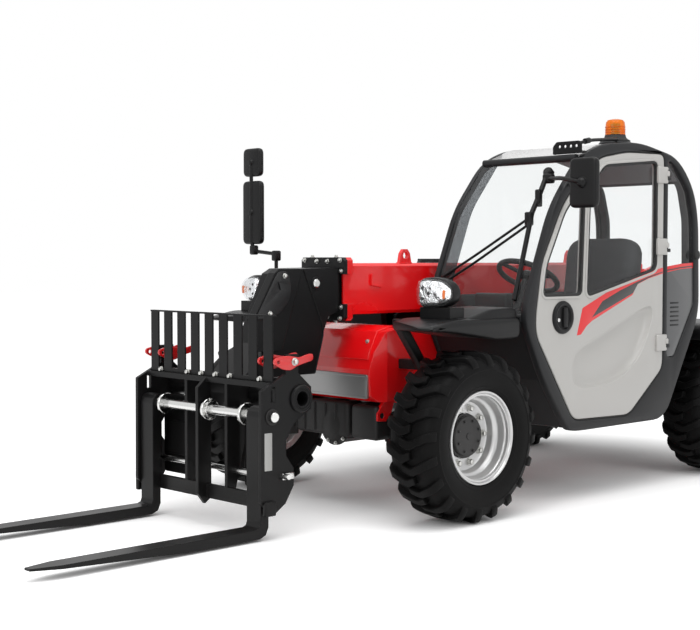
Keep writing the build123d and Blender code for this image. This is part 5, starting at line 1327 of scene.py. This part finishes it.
# Engine side: a steel tray with bulkhead, the engine block and a moulded hood that swings up.
# Black slats show behind the hood's grille slots, and a ribbed air cap stands on top.
coat_nodes(ANTHRACITE, "engine_tray", "engine_hood")
coat_nodes(CAST_BLACK, "engine_block")
engine_work = [rounded_block("cylinder_head", (-1200, -540, 955), (560, 300, 46), 12)]
engine_work += [rounded_block("head_fin", (x, -540, 985), (14, 280, 22), 4) for x in range(-1440, -940, 60)]
engine_work += [
    lathed("oil_filter", [(0, 120), (40, 118), (46, 108), (46, 0), (0, 0)], (-960, -755, 640), (0, 0, 1), 32)
]
fit_out(joined("engine_fittings", engine_work), "chassis", CAST_BLACK)
AIR_CAP = [
    (0, 185), (60, 185), (80, 178), (87, 166), (88, 150), (80, 146), (88, 142), (88, 136), (80, 132),
    (48, 128), (46, 118), (46, 0), (0, 0),
]
slats = [
    rounded_block("grille_slat", (-1480, -838, 935 + 38 * (number - 2.5)), (416, 12, 16), 4)
    for number in range(6)
]
slats.append(lathed("air_cap", AIR_CAP, (-1050, -430, 1090), (0, 0, 1), 48))
slats.append(rounded_block("hood_latch", (-1120, -862, 800), (90, 6, 30), 2.5))
slats += [rounded_block("hood_rib", (-1000, y, z), (620, 12, 14), 5) for y, z in ((-500, 1112), (-640, 1110))]
fit_out(joined("hood_fittings", slats), "hood", PLASTIC)

# Fenders: deep black mouldings over the front wheels on square tube struts, and lipped ones behind.
# The front ones carry the headlamps and narrow towards the boom at their tips.
REAR_FENDER = [
    (330, 800), (330, 850), (300, 885), (240, 896), (-280, 896), (-370, 870), (-400, 840), (-400, 800),
    (-385, 800), (-385, 835), (-355, 855), (-275, 878), (235, 878), (290, 868), (315, 840), (315, 800),
]
rear_line = eased([(x - 2300, z) for x, z in REAR_FENDER], 20)
rear_tops = [cut_panel("rear_top", [rear_line], 690, 4, side_on(y)) for y in (515, -515)]
rear_covers = fit_out(joined("lipped_rear_fenders", rear_tops), "chassis", PLASTIC)
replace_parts(rear_covers, "rear_fenders")
FENDER = [(-330, 880), (-330, 985), (150, 985), (325, 953), (325, 935), (180, 925), (-150, 880)]
HUMP = [(-330, 950), (-330, 1034), (-140, 1030), (90, 976), (90, 950)]
STRUT = [(-30, 720), (40, 720), (60, 760), (205, 950), (205, 980), (165, 980)]
fender_work = []
for side in (1, -1):
    fender = cut_panel("fender_top", [eased(FENDER, 40)], 361, 20, side_on(side * 669.5))
    bpy.ops.object.mode_set(mode="EDIT")
    bpy.ops.mesh.select_all(action="SELECT")
    slant = Vector((271.0, -side * 109.0, 0.0)).normalized()
    bpy.ops.mesh.bisect(plane_co=at(214, side * 489, 0), plane_no=slant, use_fill=True, clear_outer=True)
    bpy.ops.object.mode_set(mode="OBJECT")
    fender_work.append(break_edges(fender, 0.008, 2, 40.0))
    fender_work.append(cut_panel("fender_hump", [eased(HUMP, 36)], 322, 24, side_on(side * 669.5)))
    fender_work.append(cut_panel("fender_strut", [eased(STRUT, 8)], 45, 5, side_on(side * 496.5)))
    fender_work.append(rounded_block("strut_foot", (5, side * 419.5, 745), (60, 139, 50), 6))
    fender_work.append(rounded_block("fender_ridge", (-90, side * 800, 984), (380, 26, 12), 5))
fenders = fit_out(joined("moulded_fenders", fender_work), "chassis", PLASTIC)
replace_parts(fenders, "front_fenders")

# Lamps: clear headlamps with a bright reflector, a dark shell and an amber bulb, on posts.
# Block lamps with red, amber and clear fields are screwed to the rear fenders.
coat_nodes(PLASTIC, "lamp_brackets")
REFLECTOR = finish(
    "pressed_reflector", (0.80, 0.80, 0.80), 0.10, metallic=1.0, grain_scale=26.0, grain_height=0.02,
    edge_radius=0.001
)
AMBER_LENS = clear_finish("amber_lens", (1.0, 0.34, 0.03, 1.0), 0.05, 0.45)
RED_LENS = clear_finish("red_lens", (0.75, 0.02, 0.02, 1.0), 0.05, 0.6)
CLEAR_LENS = clear_finish("clear_lens", (0.95, 0.96, 0.97, 1.0), 0.04, 0.05)
LAMP_FACE = [
    (606, 1046), (600, 1112), (608, 1172), (660, 1180), (740, 1170), (782, 1134), (782, 1082), (740, 1048),
    (660, 1038),
]
CORNER_BULB = [(0, 22), (4, 21), (7, 17), (7, -17), (4, -21), (0, -22)]
lenses, shells, bowls, corners = [], [], [], []
for side in (1, -1):
    face = eased([(side * y, z) for y, z in LAMP_FACE], 40)
    sweep = Matrix(((1, -0.22 * side, 0, 0.22 * 0.69), (0, 1, 0, 0), (0, 0, 1, 0), (0, 0, 0, 1)))
    lenses.append(cut_panel("lamp_lens", [face], 76, 30, sweep @ front_on(128)))
    bowls.append(cut_panel("lamp_bowl", [grown(face, -7)], 60, 24, sweep @ front_on(126)))
    shells.append(cut_panel("lamp_shell", [grown(face, 7)], 56, 12, sweep @ front_on(98)))
    corners.append(lathed("corner_bulb", CORNER_BULB, (140, side * 756, 1104), (0, 0, 1), 20))
    for x, y, z in ((166, 640, 1134), (166, 640, 1082), (159, 672, 1108)):
        shells.append(lathed("lamp_bulb", [(0, 5), (6, 4), (9, 0), (0, 0)], (x, side * y, z), (1, 0, 0), 16))
    shells.append(rounded_block("rear_lamp_back", (-2522, side * 690, 941), (24, 180, 90), 6))
front_lens = fit_out(joined("headlamp_lenses", lenses), "chassis", CLEAR_LENS)
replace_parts(front_lens, "lamps")
fit_out(joined("lamp_shells", shells), "chassis", PLASTIC)
fit_out(joined("lamp_bowls", bowls), "chassis", REFLECTOR)
fit_out(joined("corner_bulbs", corners), "chassis", AMBER_LENS)
for name, material, slot, near in (
    ("rear_lamp_red", RED_LENS, "red_paint", 660), ("rear_lamp_amber", AMBER_LENS, "amber", 718),
    ("rear_lamp_clear", CLEAR_LENS, "clear_lamp", 602),
):
    fields = [
        rounded_block("lamp_field", (-2552, side * (near + 29), 941), (36, 56, 84), 8) for side in (1, -1)
    ]
    fit_out(joined(name, fields), "chassis", material)

# Mirrors: rounded black plastic heads on tube arms, with a bright glass set in the back of each.
# The left one hangs on an arm from the windscreen's top, the right pair on a cranked stalk.
MIRROR_GLASS = finish(
    "mirror_glass", (0.85, 0.87, 0.88), 0.03, metallic=1.0, grain_scale=4.0, grain_height=0.00002,
    edge_radius=0.001
)


def mirror_head(middle, height, width, x):
    """A rounded head seen from the front, with the place for its glass in the back."""
    y, z = middle
    face = four_corners(y - width / 2, y + width / 2, z - height / 2, z + height / 2)
    shell = cut_panel("mirror_shell", [eased(face, 34)], 40, 15, front_on(x))
    glass = cut_panel("mirror_glass", [grown(eased(face, 34), -14)], 3, 1, front_on(x - 20))
    return shell, glass


left_shell, left_glass = mirror_head((1021, 1655), 251, 168, -610)
left_arm = [
    left_shell,
    tube("left_arm", [(-700, 727, 1691), (-602, 880, 1684), (-572, 1000, 1662), (-580, 1021, 1656)], 11, 40),
    lathed(
        "ball_joint", [(0, 26), (12, 25), (22, 18), (28, 6), (28, 0), (0, 0)], (-592, 1021, 1656), (1, 0, 0),
        32
    ),
    rounded_block("arm_foot", (-702, 724, 1691), (40, 60, 50), 10),
    tube("arm_stay", [(-700, 868, 1655), (-640, 930, 1655), (-612, 1000, 1655)], 9, 30),
]
left = fit_out(joined("left_mirror_head", left_arm), "chassis", PLASTIC)
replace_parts(left, "left_mirror")
STALK = [(-157, -820, 985), (-157, -820, 1302), (-157, -1000, 1318), (-140, -1023, 1360), (-140, -1023, 1838)]
BALL_JOINT = [(0, 14), (14, 12), (22, 0), (0, 0)]
low_shell, low_glass = mirror_head((-1023, 1545), 370, 164, -157)
top_shell, top_glass = mirror_head((-1023, 1838), 165, 154, -157)
right_arm = [
    low_shell,
    top_shell,
    tube("right_stalk", STALK, 11, 26),
    rounded_block("stalk_joint", (-157, -820, 1292), (44, 44, 60), 10),
    rounded_block("stalk_joint", (-150, -1012, 1326), (40, 44, 56), 10),
    rounded_block("stalk_foot", (-157, -820, 992), (70, 56, 16), 5),
]
right_arm += [lathed("ball_joint", BALL_JOINT, (-138, -1023, z), (1, 0, 0), 28) for z in (1545, 1838)]
right = fit_out(joined("right_mirror_heads", right_arm), "chassis", PLASTIC)
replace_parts(right, "right_mirrors")
fit_out(joined("mirror_glasses", [left_glass, low_glass, top_glass]), "chassis", MIRROR_GLASS)

# Beacon: an amber ribbed dome over a dark reflector core, on a black rubber boot at the roof's pad.
# The boot's foot widens to a flange on the pad.
BOOT = [(0, 0), (82, 0), (82, 8), (70, 14), (60, 24), (56, 38), (0, 38)]
DOME = [(0, 126), (24, 125), (42, 120), (51, 108), (54, 84), (55, 44), (56, 40), (0, 40)]
CORE = [(0, 104), (22, 102), (28, 92), (22, 72), (26, 52), (22, 42), (0, 42)]
BEACON_PLACE = (-1287, 725, 1915)
boot = lathed("beacon_boot", BOOT, BEACON_PLACE, (0, 0, 1), 48)
fit_out(boot, "chassis", SEAL)
dome = [lathed("beacon_dome", DOME, BEACON_PLACE, (0, 0, 1), 48)]
dome += [
    lathed("dome_rib", [(54.4, z), (57, z + 2), (54.4, z + 4)], BEACON_PLACE, (0, 0, 1), 48)
    for z in (52, 66, 80)
]
lens = fit_out(joined("beacon_lens", dome), "chassis", AMBER_LENS)
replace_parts(lens, "beacon")
core = lathed("beacon_core", CORE, BEACON_PLACE, (0, 0, 1), 32)
fit_out(core, "chassis", CAST_BLACK)
